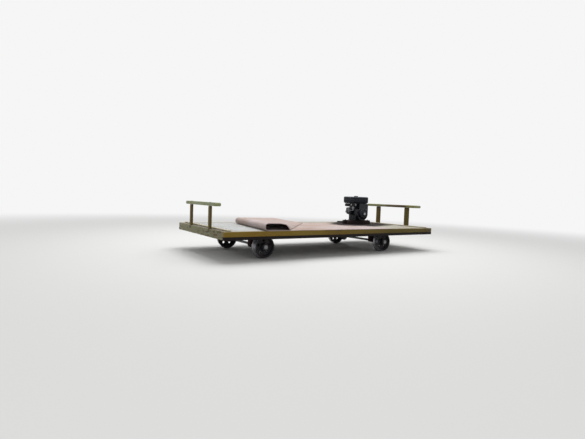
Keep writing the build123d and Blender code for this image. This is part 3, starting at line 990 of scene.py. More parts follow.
@dataclass(frozen=True)
class MatFinish:
    """Thin woven mat, faded pinkish tan, with its plain weave along the mat's own map."""

    name: str = "woven mat"
    faded: Colour = (0.52, 0.45, 0.445)
    tan: Colour = (0.42, 0.31, 0.25)
    deep: Colour = (0.15, 0.06, 0.05)
    threads_per_metre: float = 210.0
    wave_turn: float = 20.0

    def build(self) -> bpy.types.Material:
        """Makes the material.

        Returns:
            The material.
        """
        material, graph, shader = start_material(self.name)
        uv = graph.add("ShaderNodeTexCoord").outputs["UV"]
        place = graph.place()
        waves = []
        for axis in ("X", "Y"):
            wave = graph.add("ShaderNodeTexWave", wave_type="BANDS", bands_direction=axis, wave_profile="SIN")
            graph.feed(wave.inputs["Vector"], uv)
            wave.inputs["Scale"].default_value = self.threads_per_metre * math.tau / self.wave_turn
            waves.append(wave.outputs["Fac"])
        weave = graph.times(waves[0], waves[1])
        strands = graph.noise(graph.mapped(uv, (4, 240, 1)), 1.0, 3.0, 0.6)
        patches = graph.noise(graph.mapped(uv, (1.2, 1.2, 1)), 1.0, 5.0, 0.6)
        colour = graph.mix(graph.band(patches, 0.35, 0.68), self.faded, self.tan)
        colour = graph.mix(graph.band(strands, 0.5, 0.8, 0.0, 0.4), colour, self.tan)
        colour = graph.mix(graph.times(weave, 0.25), colour, self.deep)
        grime = graph.mask("grime", Vector=place, Amount=0.1, Size=3.2)
        colour = graph.mix(graph.times(grime, 0.3), colour, self.deep)
        # Dark round the engine: oil stain and painted shadow of the engine.
        spill = graph.mask("spill", Vector=place)
        graph.feed(shader.inputs["Base Color"], graph.mix(spill, colour, OIL_AND_SHADOW_COLOUR))
        graph.feed(shader.inputs["Roughness"], graph.band(spill, 0.0, 1.0, 0.75, 1.0))
        shader.inputs["Sheen Weight"].default_value = 0.02
        shader.inputs["Specular IOR Level"].default_value = 0.08
        height = graph.plus(weave, graph.times(strands, 0.5))
        graph.feed(shader.inputs["Normal"], graph.bump(height, 0.45, 0.0012))
        return material


class Palette:
    """The trolley's finishes, each built once, and the record's material slot of each."""

    YELLOW: Colour = (0.178, 0.108, 0.008)
    FADED_YELLOW: Colour = (0.185, 0.126, 0.018)
    BROWN: Colour = (0.075, 0.050, 0.035)
    # Pale bluish colour of the tank's top: dust, and a painted sky highlight.
    PALE_DUST: Colour = (0.26, 0.29, 0.31)
    # Pale colour of the yellow beams' tops: bleached dust, with painted light on the top faces.
    BLEACHED: Colour = (0.42, 0.38, 0.25)
    CHIPPED: Colour = (0.05, 0.05, 0.055)
    RUST: Colour = (0.17, 0.075, 0.035)
    SOOTY: Colour = (0.11, 0.115, 0.125)
    SOOT: Colour = (0.025, 0.023, 0.022)
    PLASTIC: Colour = (0.007, 0.007, 0.009)
    RUBBER: Colour = (0.009, 0.009, 0.009)
    WOOD = {"wood": (0.16, 0.115, 0.07), "dark_wood": (0.06, 0.038, 0.022)}
    OTHER_SLOTS = {
        "yellow end": "yellow_beam",
        "khaki end": "pale_beam",
        "cream batten": "batten",
        "ochre post": "post_paint",
        "olive rail": "rail_paint",
        "bearer timber": "frame_timber",
        "bleached bamboo": "bamboo",
        "fastener steel": "axle_steel",
        "sooty aluminium": "bare_aluminium",
        "tank enamel": "tank_paint",
        "woven mat": "mat_weave",
    }

    def __init__(self) -> None:
        """Makes the effects and every finish."""
        Effects.build()
        finishes = [*self.timbers(), BambooFinish(), *self.irons(), *self.enamels(), MatFinish()]
        self.made = {finish.name: finish.build() for finish in finishes}

    def timbers(self) -> list[TimberFinish]:
        """The sawn timbers, painted and bare."""
        yellow = {"paint": self.YELLOW, "faded": self.FADED_YELLOW, **self.WOOD}
        # Side beams: worn paint and dust, with painted light on their tops and painted shade towards the
        # engine's end.
        weathered_with_painted_light = {"worn": 0.12, "dust": 0.55, "soil": 0.9, "dust_colour": self.BLEACHED}
        khaki = {"paint": (0.17, 0.165, 0.075), "faded": (0.20, 0.19, 0.11), **self.WOOD}
        ochre = {"paint": (0.11, 0.068, 0.010), "faded": (0.075, 0.085, 0.022), **self.WOOD}
        olive = {"paint": (0.20, 0.20, 0.06), "faded": (0.26, 0.30, 0.18), **self.WOOD}
        return [
            TimberFinish("yellow beam", grain=Axis.X, **weathered_with_painted_light, **yellow),
            TimberFinish("yellow end", grain=Axis.Y, worn=0.2, soil=0.4, **yellow),
            TimberFinish("khaki end", grain=Axis.Y, worn=0.2, **khaki),
            TimberFinish("dark rail", (0.012, 0.007, 0.007), (0.005, 0.003, 0.003), Axis.X, dust=0.03),
            TimberFinish("frame timber", self.BROWN, (0.03, 0.019, 0.013), Axis.Y, dust=0.2),
            TimberFinish("bearer timber", (0.03, 0.019, 0.016), (0.012, 0.007, 0.007), Axis.X, dust=0.12),
            TimberFinish("cream batten", (0.62, 0.57, 0.42), (0.42, 0.36, 0.25), Axis.Y, dust=0.1),
            TimberFinish("ochre post", grain=Axis.Z, worn=0.12, **ochre),
            TimberFinish("olive rail", grain=Axis.Y, worn=0.14, **olive),
            TimberFinish("saddle timber", (0.045, 0.016, 0.016), (0.014, 0.006, 0.006), Axis.X, dust=0.08),
        ]

    def irons(self) -> list[IronFinish]:
        """The irons, steels and cast aluminium."""
        tread = {"rusted": 0.15, "metallic": 0.95, "roughness": 0.35, "dust": 0.05, "cast": 0.08}
        axle = {"rusted": 0.24, "metallic": 0.9, "roughness": 0.35, "dust": 0.08, "cast": 0.05}
        bolt = {"rusted": 0.4, "metallic": 0.7, "roughness": 0.5, "dust": 0.08}
        return [
            IronFinish("wheel iron", (0.010, 0.010, 0.013), rusted=0.15, metallic=0.4, dust=0.06),
            IronFinish("worn tread", (0.22, 0.22, 0.24), **tread),
            IronFinish("axle steel", (0.15, 0.15, 0.155), **axle),
            IronFinish("bearing iron", (0.016, 0.015, 0.017), self.RUST, 0.2, 0.4, 0.42, 0.1),
            IronFinish("pulley iron", (0.06, 0.06, 0.068), self.RUST, 0.2, 0.7, 0.4, 0.1),
            IronFinish("fastener steel", (0.11, 0.105, 0.10), **bolt),
            IronFinish("muffler steel", (0.02, 0.02, 0.022), self.RUST, 0.22, 0.3, 0.6, 0.1),
            IronFinish("bare aluminium", (0.30, 0.32, 0.34), (0.06, 0.06, 0.06), 0.4, 0.85, 0.42, 0.08, 0.5),
            IronFinish("sooty aluminium", self.SOOTY, self.SOOT, 0.45, 0.7, 0.5, 0.05, 0.5),
        ]

    def enamels(self) -> list[EnamelFinish]:
        """The engine's enamels, plastics and rubber."""
        # The tank's top is pale: dust, with a painted sky highlight; its own shine is kept low.
        tank = {"dust": 0.85, "shine": 0.12, "dust_colour": self.PALE_DUST}
        return [
            EnamelFinish("engine casting", (0.006, 0.008, 0.015), self.CHIPPED, 0.08, 0.45, 0.1, 0.08, 0.5),
            EnamelFinish("engine sheet", (0.004, 0.006, 0.012), self.CHIPPED, 0.06, 0.38, 0.2, 0.08),
            EnamelFinish("tank enamel", (0.003, 0.005, 0.010), self.CHIPPED, 0.05, 0.34, 0.08, **tank),
            EnamelFinish("black plastic", self.PLASTIC, (0.03, 0.03, 0.03), 0.05, 0.5, 0.0, 0.12, 0.4),
            EnamelFinish("belt rubber", self.RUBBER, (0.05, 0.05, 0.045), 0.1, 0.62, 0.0, 0.15, 0.6),
        ]

    def __getitem__(self, name: str) -> bpy.types.Material:
        """The finish of that name."""
        return self.made[name]

    def slot(self, name: str) -> str:
        """The record's material slot of the finish of that name."""
        return self.OTHER_SLOTS.get(name, name.replace(" ", "_"))


# Fasteners


class Head(Enum):
    """The kinds of fastener head."""

    HEX = "hexagon head on a washer"
    ROUND = "low domed head"


@dataclass
class Fasteners:
    """Patterns of the bolts and nails, one unit across, made once at the origin and pointing up."""

    radius: float = 0.5
    sunk: float = 0.03
    hex_span: tuple[float, float] = (0.08, 0.46)
    hex_crown: tuple[float, float] = (0.06, 0.05)
    washer_radius: float = 0.72
    washer_span: tuple[float, float] = (-0.02, 0.09)
    washer_crown: tuple[float, float] = (0.05, 0.02)
    round_rim: float = 0.06
    round_crown: tuple[tuple[float, float], ...] = ((0.1, 0.09), (0.14, 0.06))
    patterns: dict[Head, Piece] = field(default_factory=dict)

    def hex_head(self) -> Piece:
        """Models a hexagon head on a washer.

        Returns:
            The pattern.
        """
        head = add_bar(self.radius, *[(0, 0, z) for z in self.hex_span], 6)
        pressed(head, (0, 0, 1), [self.hex_crown])
        washer = add_bar(self.washer_radius, *[(0, 0, z) for z in self.washer_span], 16)
        pressed(washer, (0, 0, 1), [self.washer_crown])
        return joined([head, washer])

    def round_head(self) -> Piece:
        """Models a low domed head."""
        head = add_bar(self.radius, (0, 0, -self.sunk), (0, 0, self.round_rim), 10)
        return pressed(head, (0, 0, 1), self.round_crown)

    def build(self) -> None:
        """Makes the patterns."""
        self.patterns = {Head.HEX: self.hex_head(), Head.ROUND: self.round_head()}

    def placed(self, head: Head, size: float, spots: Spots, seed: str) -> list[Piece]:
        """Copies one pattern to many places, each turned about itself by chance.

        Args:
            head: The kind of head.
            size: The fastener's width.
            spots: (place, direction) of each.
            seed: What the chance starts from.

        Returns:
            The copies.
        """
        chance = random.Random(seed)
        turned = [facing(place, direction, chance.uniform(0, 60)) for place, direction in spots]
        return [copied(self.patterns[head], place @ Matrix.Scale(size, 4)) for place in turned]

    def clear(self) -> None:
        """Deletes the patterns."""
        for pattern in self.patterns.values():
            discard(pattern)


@dataclass(kw_only=True)
class SubAssembly:
    """What the sub-assemblies share: the finishes, the fasteners, and how a finished piece is put in."""

    palette: Palette
    fasteners: Fasteners
    body: str = "deck"
    bolt_slot: str = "axle_steel"

    def fit(
        self, name: str, parts: Sequence[Piece], finish: str, *nodes: str,
        angle: float = 35.0, body: str = "", slot: str = "",
    ) -> Piece:
        """Joins parts in a piece, gives it its shading, finish and body, and hides the CAD nodes that it
        replaces.

        Args:
            name: The piece's name.
            parts: What it is joined from.
            finish: The finish's name.
            nodes: The CAD nodes that it replaces.
            angle: The greatest angle between faces that is shaded smooth, in degrees.
            body: The body that it rides on, where that isn't the sub-assembly's.
            slot: The record's material slot, where that isn't the finish's.

        Returns:
            The finished piece.
        """
        piece = smooth(joined(parts), angle)
        piece.name = name
        piece.data.materials.clear()
        piece.data.materials.append(self.palette[finish])
        body = body or self.body
        slot = slot or self.palette.slot(finish)
        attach(piece, body)
        if nodes:
            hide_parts(*nodes)
        log.info("%s: %d faces", piece.name, len(piece.data.polygons))
        return piece

    def fasten(self, name: str, head: Head, size: float, spots: Spots, paint: str = "") -> Piece:
        """Fits many of one fastener as a piece.

        Args:
            name: The piece's name.
            head: The kind of head.
            size: The fastener's width.
            spots: (place, direction) of each.
            paint: The finish that they are painted with, if any.

        Returns:
            The piece.
        """
        heads = self.fasteners.placed(head, size, spots, name)
        slot = "" if paint else self.bolt_slot
        return self.fit(name, heads, paint or "fastener steel", angle=30, slot=slot)


# Timber frame


@dataclass
class Timber:
    """One sawn timber: a long block cut in lengths, its edges rounded and its faces worn a little."""

    low: Vector
    high: Vector
    edge: float = 0.004
    worn: float = 0.0014
    step: float = 0.12
    grain_size: float = 0.16

    def build(self) -> Piece:
        """Models the timber.

        Returns:
            The new piece.
        """
        piece = add_block(self.low, self.high)
        sizes = self.high - self.low
        long_axis = max(range(3), key=lambda axis: sizes[axis])
        cuts = max(2, int(sizes[long_axis] / self.step))
        with editing(piece):
            pick(piece, Kind.EDGES, lambda edge: self.runs_along(edge, long_axis, sizes[long_axis]))
            bpy.ops.mesh.subdivide(number_cuts=cuts)
        soften(piece, self.edge, 2)
        return roughen(piece, self.worn, self.grain_size, "timber wear")

    @staticmethod
    def runs_along(edge: bmesh.types.BMEdge, axis: int, length: float) -> bool:
        """Whether an edge runs the whole length along an axis."""
        step = edge.verts[1].co - edge.verts[0].co
        return abs(abs(step[axis]) - length) < 1e-6


@dataclass(kw_only=True)
class DeckFrame(SubAssembly):
    """The deck's timber frame: side beams, dark rails, end beams, stringers, cross beams and battens."""

    notch_room: float = 0.0005
    beam_edge: float = 0.005
    rail_edge: float = 0.004
    batten_edge: float = 0.002
    bolt_size: float = 0.022
    bolt_drop: float = 0.014
    end_bolts: tuple[float, ...] = (-0.62, -0.40, 0.0, 0.40, 0.62)

    def timber(self, node: str, finish: str, edge: float, tools: Sequence[Piece] = ()) -> Piece:
        """Replaces a CAD node's solids with worn timbers.

        Args:
            node: The node.
            finish: Its finish.
            edge: How wide its edges are rounded.
            tools: What is cut out of it.

        Returns:
            The piece.
        """
        timbers = joined([Timber(low, high, edge).build() for low, high in solids_of(node)])
        return self.fit(f"{node}_timber", [carved(timbers, tools)], finish, node, angle=40)

    def notches(self, end: End) -> list[Piece]:
        """Blocks in the places of an end's posts, to be cut out of what they pass through."""
        room = Vector((self.notch_room,) * 3)
        return [add_block(low - room, high + room) for low, high in solids_of(f"end_posts_{end.label}")]

    def bolts(self) -> None:
        """Coach bolts through the side beams into the cross beams, and through the end beams."""
        low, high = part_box(f"side_beam_{Side.OFF.label}")
        level = (low.z + high.z) / 2 - self.bolt_drop
        spots = []
        for beam_low, beam_high in solids_of("cross_beams"):
            x = (beam_low.x + beam_high.x) / 2
            for side in Side:
                spots.append(((x, outer(f"side_beam_{side.label}", side.sign).y, level), (0, side.sign, 0)))
        self.fasten("side_beam_bolts", Head.ROUND, self.bolt_size, spots, "yellow beam")
        for end in End:
            x = outer(f"end_beam_{end.label}", end.sign).x
            spots = [((x, y, level), (end.sign, 0, 0)) for y in self.end_bolts]
            self.fasten(f"end_beam_bolts_{end.label}", Head.ROUND, self.bolt_size, spots, end.beam_finish)

    def build(self) -> None:
        """Models the whole frame."""
        for side in Side:
            self.timber(f"side_beam_{side.label}", "yellow beam", self.beam_edge)
            self.timber(f"under_rail_{side.label}", "dark rail", self.rail_edge)
            self.timber(f"stringer_{side.label}", "dark rail", self.rail_edge)
        for end in End:
            tools = self.notches(end) if end is End.PLAIN else []
            self.timber(f"end_beam_{end.label}", end.beam_finish, self.beam_edge, tools)
        self.timber("cross_beams", "frame timber", self.rail_edge)
        for end in End:
            self.timber(f"end_batten_{end.label}", "cream batten", self.batten_edge, self.notches(end))
        self.bolts()


@dataclass(kw_only=True)
class EndRails(SubAssembly):
    """The rail across each end of the deck: two posts and a round-ended top rail, bolted together."""

    bolt_size: float = 0.016
    bolt_rise: float = 0.020
    bolt_sink: float = 0.001
    end_radius: float = 0.018
    end_steps: int = 8
    rail_cuts: int = 10
    long_edge: float = 0.5
    rail_edge: float = 0.006
    rail_wear: tuple[float, float] = (0.0016, 0.09)
    post_edge: float = 0.005
    post_worn: float = 0.0016
    post_step: float = 0.05

    def top_rail(self, end: End) -> None:
        """Models a top rail from a block, its ends rounded over and its edges worn soft by hands."""
        node = f"top_rail_{end.label}"
        piece = rounded(add_block(*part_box(node)), Axis.X, self.end_radius, self.end_steps)
        with editing(piece):
            pick(piece, Kind.EDGES, lambda edge: edge.calc_length() > self.long_edge)
            bpy.ops.mesh.subdivide(number_cuts=self.rail_cuts)
        soften(piece, self.rail_edge, 3)
        roughen(piece, *self.rail_wear, "rail wear")
        self.fit(f"{node}_timber", [piece], "olive rail", node, angle=40)

    def posts(self, end: End) -> None:
        """Models a pair of posts."""
        node = f"end_posts_{end.label}"
        sizes = (self.post_edge, self.post_worn, self.post_step)
        timbers = [Timber(low, high, *sizes).build() for low, high in solids_of(node)]
        self.fit(f"{node}_timber", timbers, "ochre post", node, angle=40)

    def bolts(self, end: End) -> None:
        """Bolts through the foot and the head of each post."""
        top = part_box(f"top_rail_{end.label}")[1].z - self.bolt_sink
        outside = outer(f"end_beam_{end.label}", end.sign).x
        spots = []
        for low, high in solids_of(f"end_posts_{end.label}"):
            x, y, reach = (low.x + high.x) / 2, (low.y + high.y) / 2, (high.y - low.y) / 4
            foot = low.z + self.bolt_rise
            spots += [((outside, y + shift, foot), (end.sign, 0, 0)) for shift in (-reach, reach)]
            spots += [((x, y + shift, top), (0, 0, 1)) for shift in (-reach, reach)]
        self.fasten(f"end_rail_bolts_{end.label}", Head.ROUND, self.bolt_size, spots)

    def build(self) -> None:
        """Models both end rails."""
        for end in End:
            self.top_rail(end)
            self.posts(end)
            self.bolts(end)


@dataclass(kw_only=True)
class BambooDeck(SubAssembly):
    """Bamboo slats along the deck, nailed over the cross beams in three panels."""

    bolt_slot: str = "bamboo"
    slat_width: float = 0.044
    pitch: float = 0.050
    per_panel: int = 9
    body_height: float = 0.0105
    slat_height: float = 0.014
    slat_edge: float = 0.0022
    crown: float = 0.0022
    knot_rise: float = 0.0011
    knot_half: float = 0.007
    knot_spacing: float = 0.31
    knot_from: float = 0.12
    pattern_length: float = 3.9
    shift: float = 0.3
    slot_room: float = 0.01
    post_room: float = 0.002
    nail_size: float = 0.0085
    nail_sink: float = 0.0012
    nail_room: float = 0.01
    tie_half: float = 0.015
    tie_edge: float = 0.0012

    def pattern(self) -> Piece:
        """One long slat: a flat block, crowned across and raised at its knots.

        Returns:
            The slat, along X about the origin, its foot at height 0.
        """
        chance = random.Random(11)
        half, reach = self.slat_width / 2, self.pattern_length / 2
        slat = add_block((-reach, -half, 0), (reach, half, self.body_height))
        knots = []
        x = -reach + self.knot_from
        while x < reach - 0.1:
            knots.append(x)
            x += self.knot_spacing * chance.uniform(0.8, 1.25)
        with editing(slat):
            for y in (-half * 0.55, 0.0, half * 0.55):
                bpy.ops.mesh.select_all(action="SELECT")
                bpy.ops.mesh.bisect(plane_co=(0, y, 0), plane_no=(0, 1, 0))
            for x in knots:
                for share in (-1.0, -0.5, 0.0, 0.5, 1.0):
                    bpy.ops.mesh.select_all(action="SELECT")
                    bpy.ops.mesh.bisect(plane_co=(x + share * self.knot_half, 0, 0), plane_no=(1, 0, 0))
            for within, share in ((half * 0.8, 0.7), (0.001, 0.3)):
                pick(slat, Kind.VERTS, lambda vert: vert.co.z > 0.001 and abs(vert.co.y) < within)
                bpy.ops.transform.translate(value=(0, 0, self.crown * share))
            for room in (self.knot_half * 0.6, self.knot_half * 0.2):
                pick(slat, Kind.VERTS, lambda vert: self.on_knot(vert, knots, room))
                bpy.ops.transform.translate(value=(0, 0, self.knot_rise / 2))
        soften(slat, self.slat_edge, 2, 50)
        knot_mark = slat.data.attributes.new("knot", "FLOAT", "POINT")
        for vert in slat.data.vertices:
            near = min(abs(vert.co.x - knot) for knot in knots)
            knot_mark.data[vert.index].value = max(0.0, 1.0 - near / (self.knot_half * 0.8))
        slat.data.attributes.new("tint", "FLOAT", "POINT")
        return slat

    @staticmethod
    def on_knot(vert: bmesh.types.BMVert, knots: Sequence[float], room: float) -> bool:
        """Whether a vertex is on a slat's top near a knot."""
        return vert.co.z > 0.001 and any(abs(vert.co.x - knot) <= room for knot in knots)

    def runs(self, y: float, low: Vector, high: Vector) -> list[tuple[float, float]]:
        """The stretches of a slat, broken at the belt's slot and the posts.

        Args:
            y: The slat's middle.
            low: The deck's lowest corner.
            high: The deck's highest corner.

        Returns:
            (start, end) of each stretch.
        """
        openings = frame["record"]["physics"]["openings"]
        slot = next(item["box_m"] for item in openings if item["name"] == "belt_slot")
        posts = solids_of("end_posts_engine_end")
        if slot[0][1] < y < slot[1][1]:
            start, end = slot[0][0] - self.slot_room, slot[1][0] + self.slot_room
            return [(low.x, start), (end, posts[0][0].x - self.post_room)]
        for post_low, post_high in posts:
            if post_low.y - self.post_room < y < post_high.y + self.post_room:
                return [(low.x, post_low.x - self.post_room)]
        return [(low.x, high.x)]

    def panel(self, name: str, index: int, pattern: Piece) -> None:
        """Models one panel of slats, its ties and its nails.

        Args:
            name: The panel's name.
            index: -1, 0 or 1 across the deck.
            pattern: The slat that is copied.
        """
        low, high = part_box("slats_middle")
        chance = random.Random(name)
        slats, nails, ties = [], [], []
        tie_x = [(a.x + b.x) / 2 for a, b in solids_of("cross_beams")]
        foot = high.z - self.slat_height
        middle = index * self.per_panel * self.pitch
        for n in range(self.per_panel):
            y = middle + (n - (self.per_panel - 1) / 2) * self.pitch
            flip = -1 if chance.random() < 0.5 else 1
            shift = chance.uniform(-self.shift, self.shift)
            tint = chance.random()
            for start, end in self.runs(y, low, high):
                place = Matrix.Translation((shift, y, foot)) @ Matrix.Diagonal((flip, flip, 1, 1))
                slat = copied(pattern, place)
                for entry in slat.data.attributes["tint"].data:
                    entry.value = tint
                bisected(slat, (start, 0, 0), (-1, 0, 0))
                bisected(slat, (end, 0, 0), (1, 0, 0))
                slats.append(slat)
                for x in tie_x:
                    if start + self.nail_room < x < end - self.nail_room:
                        spot = (x + chance.uniform(-0.008, 0.008), y + chance.uniform(-0.006, 0.006))
                        nails.append(((*spot, high.z - self.nail_sink), (0, 0, 1)))
        self.fit(f"bamboo_slats_{name}", slats, "bleached bamboo", f"slats_{name}", angle=50)
        self.fasten(f"slat_nails_{name}", Head.ROUND, self.nail_size, nails)
        half = (self.per_panel * self.pitch - (self.pitch - self.slat_width)) / 2
        for x in tie_x:
            tie_low = (x - self.tie_half, middle - half, low.z)
            tie = add_block(tie_low, (x + self.tie_half, middle + half, foot))
            ties.append(soften(tie, self.tie_edge, 1))
        self.fit(f"slat_ties_{name}", ties, "frame timber", slot="bamboo")

    def build(self) -> None:
        """Models the three panels."""
        pattern = self.pattern()
        for index, name in enumerate(("off_side", "middle", "belt_side")):
            self.panel(name, index - 1, pattern)
        discard(pattern)


# Running gear


@dataclass(kw_only=True)
class Wheelset(SubAssembly):
    """An axle with two flanged wheels, their bearing blocks and the saddles over them."""

    end: str
    pulley: bool = False
    tread_radius: float = 0.125
    flange_radius: float = 0.140
    flange_width: float = 0.022
    rim_thickness: float = 0.020
    wheel_width: float = 0.084
    hub_radius: float = 0.042
    web_half: float = 0.007
    corner: float = 0.003
    holes: int = 5
    hole_radius: float = 0.016
    bore_reach: float = 0.03
    spin_steps: int = 70
    hub_bolts: int = 4
    hub_bolt_ring: float = 0.029
    hub_bolt_size: float = 0.011
    hub_bolt_sink: float = 0.0015
    axle_radius: float = 0.015
    collar_radius: float = 0.024
    collar_edge: float = 0.0015
    collar_gap: float = 0.001
    collar_length: float = 0.014
    end_collar: float = 0.013
    screw_size: float = 0.008
    block_corner: float = 0.012
    block_edge: float = 0.0018
    bore_room: float = 0.0006
    seal_radius: float = 0.030
    seal_sink: float = 0.003
    nipple_rise: float = 0.006
    notch_room: float = 0.006
    saddle_corner: float = 0.024
    saddle_edge: float = 0.004
    saddle_wear: tuple[float, float] = (0.001, 0.07)
    saddle_bolt_reach: float = 0.075
    saddle_bolt_levels: tuple[float, float] = (0.012, 0.014)
    saddle_bolt_size: float = 0.014
    pulley_hub: tuple[float, float] = (0.028, 0.024)

    def middle(self) -> Vector:
        """The middle of the axle."""
        low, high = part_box(f"axle_{self.end}")
        return (low + high) / 2

    def wheel_side(self, hub: float, web: float, rim: float, out: int) -> list[tuple[float, float]]:
        """The corners of one side of a wheel's section, from its bore to its rim.

        Args:
            hub: How far out the hub's face lies.
            web: How far out the web's face lies.
            rim: How far out the rim's face lies.
            out: 1 on the wheel's outer side, -1 on its inner side.

        Returns:
            (radius, distance) of each corner.
        """
        bore = self.tread_radius - self.rim_thickness
        return [
            (self.axle_radius, hub),
            (self.hub_radius - self.corner, hub),
            (self.hub_radius, hub - out * self.corner),
            (self.hub_radius + 0.002, web + out * 0.006),
            (self.hub_radius + 0.009, web),
            (bore - 0.008, web),
            (bore - 0.002, web + out * 0.006),
            (bore, rim - out * self.corner),
            (bore + self.corner, rim),
        ]

    def wheel(self, side: Side) -> None:
        """Models a wheel: a spun section with fillets, its web holes bored and its hub bolted."""
        node = f"wheel_{self.end}_{side.label}"
        low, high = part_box(node)
        centre = self.middle()
        sign = side.sign
        inside, outside = sorted((abs(low.y), abs(high.y)))
        inner = inside + (outside - inside - self.wheel_width) / 2
        far = inner + self.wheel_width
        web = (inner + far) / 2
        rolled = [
            (self.flange_radius - 0.009, inner),
            (self.flange_radius - 0.002, inner + 0.004),
            (self.flange_radius, inner + 0.009),
            (self.flange_radius - 0.002, inner + 0.015),
            (self.tread_radius + 0.004, inner + self.flange_width - 0.002),
            (self.tread_radius, inner + self.flange_width + 0.004),
            (self.tread_radius - 0.001, far - 0.004),
            (self.tread_radius - 0.005, far),
        ]
        inner_side = self.wheel_side(inside, web - self.web_half, inner, -1)
        outer_side = self.wheel_side(outside, web + self.web_half, far, 1)
        section = [(radius, sign * out) for radius, out in (*inner_side, *rolled, *reversed(outer_side))]
        piece = add_turned(section, (centre.x, 0, centre.z), self.spin_steps)
        ring = (self.hub_radius + self.tread_radius - self.rim_thickness) / 2
        tools = []
        for n in range(self.holes):
            x, z = around(centre, ring, 90 + n * 360 / self.holes)
            ends = [(x, sign * (web + reach), z) for reach in (-self.bore_reach, self.bore_reach)]
            tools.append(add_bar(self.hole_radius, *ends, 24))
        carved(piece, tools)
        self.fit(f"{node}_iron", [piece], "wheel iron", node, angle=38)
        piece.data.materials.append(self.palette["worn tread"])
        for face in piece.data.polygons:
            reach = math.hypot(face.center.x - centre.x, face.center.z - centre.z)
            if reach > self.tread_radius - 0.003 and abs(face.center.y) > inner + 0.012:
                face.material_index = 1
        spots = []
        for n in range(self.hub_bolts):
            x, z = around(centre, self.hub_bolt_ring, 45 + n * 360 / self.hub_bolts)
            spots.append(((x, sign * (outside - self.hub_bolt_sink), z), (0, sign, 0)))
        self.fasten(f"hub_bolts_{self.end}_{side.label}", Head.HEX, self.hub_bolt_size, spots)

    def axle(self) -> None:
        """Models the axle with its collars, each with a set screw."""
        node = f"axle_{self.end}"
        low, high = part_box(node)
        centre = self.middle()
        radius, edge = self.collar_radius, self.collar_edge
        near, far = self.collar_gap, self.collar_gap + self.collar_length
        collars = [(low.y, low.y + self.end_collar), (high.y - self.end_collar, high.y)]
        for side in Side:
            block_low, block_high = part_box(f"bearing_{self.end}_{side.label}")
            collars += [(block_low.y - far, block_low.y - near), (block_high.y + near, block_high.y + far)]
        outline = [(0.0, low.y)]
        at = low.y
        for start, end in sorted(collars):
            if start > at + 1e-6:
                outline += [(self.axle_radius, at), (self.axle_radius, start)]
            outline += [(radius - edge, start), (radius, start + edge)]
            outline += [(radius, end - edge), (radius - edge, end)]
            at = end
        outline.append((0.0, high.y))
        piece = add_turned(outline, (centre.x, 0, centre.z), 40)
        self.fit(f"{node}_steel", [piece], "axle steel", node, angle=30)
        top = centre.z + radius - 0.001
        spots = [((centre.x, (start + end) / 2, top), (0, 0, 1)) for start, end in sorted(collars)[1:-1]]
        self.fasten(f"collar_screws_{self.end}", Head.HEX, self.screw_size, spots)

    def bearing(self, side: Side) -> None:
        """Models a flat-topped bearing block with its seal rings and grease nipple."""
        node = f"bearing_{self.end}_{side.label}"
        low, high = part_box(node)
        centre = self.middle()
        piece = add_block(low, high)
        with editing(piece):
            pick(piece, Kind.EDGES, lambda edge: self.is_low_edge(edge, low))
            bpy.ops.mesh.bevel(offset=self.block_corner, segments=4)
            for normal in (-1, 1):
                pick(piece, Kind.FACES, lambda face: face.normal.y * normal > 0.9)
                bpy.ops.mesh.inset(thickness=0.005, depth=0)
                bpy.ops.mesh.inset(thickness=0.002, depth=-self.seal_sink)
        soften(piece, self.block_edge, 2)
        bore = self.axle_radius + self.bore_room
        carved(piece, [add_bar(bore, *[(centre.x, y, centre.z) for y in (low.y - 0.01, high.y + 0.01)])])
        parts = [piece]
        for face, out in ((low.y + self.seal_sink, -1), (high.y - self.seal_sink, 1)):
            section = [
                (bore, face),
                (self.seal_radius, face),
                (self.seal_radius, face + out * 0.0012),
                (self.seal_radius - 0.003, face + out * 0.0022),
                (self.seal_radius - 0.009, face + out * 0.0012),
                (bore, face + out * 0.0012),
            ]
            parts.append(add_turned(section, (centre.x, 0, centre.z), 40))
        body = f"{self.end}_bearings"
        self.fit(f"{node}_iron", parts, "bearing iron", node, body=body)
        nipple = self.grease_nipple(Vector((low.x, (low.y + high.y) / 2, centre.z + self.nipple_rise)))
        name = f"grease_nipple_{self.end}_{side.label}"
        self.fit(name, [nipple], "fastener steel", angle=40, body=body)

    @staticmethod
    def is_low_edge(edge: bmesh.types.BMEdge, low: Vector) -> bool:
        """Whether an edge is one of a block's two lowest, along Y."""
        lowest = all(abs(vert.co.z - low.z) < 1e-5 for vert in edge.verts)
        return lowest and abs(edge.verts[0].co.y - edge.verts[1].co.y) > 0.01

    @staticmethod
    def grease_nipple(foot: Vector) -> Piece:
        """A small turned nipple that points towards -X.

        Args:
            foot: Where it is screwed in.

        Returns:
            The piece.
        """
        outline = [
            (0.0, 0.0), (0.0035, 0.0), (0.0035, 0.002), (0.002, 0.0028), (0.0026, 0.0042), (0.0014, 0.0052),
            (0.0, 0.0052),
        ]
        piece = add_turned(outline, (0, 0, 0), 12)
        return moved(piece, foot, 90, Axis.Z)

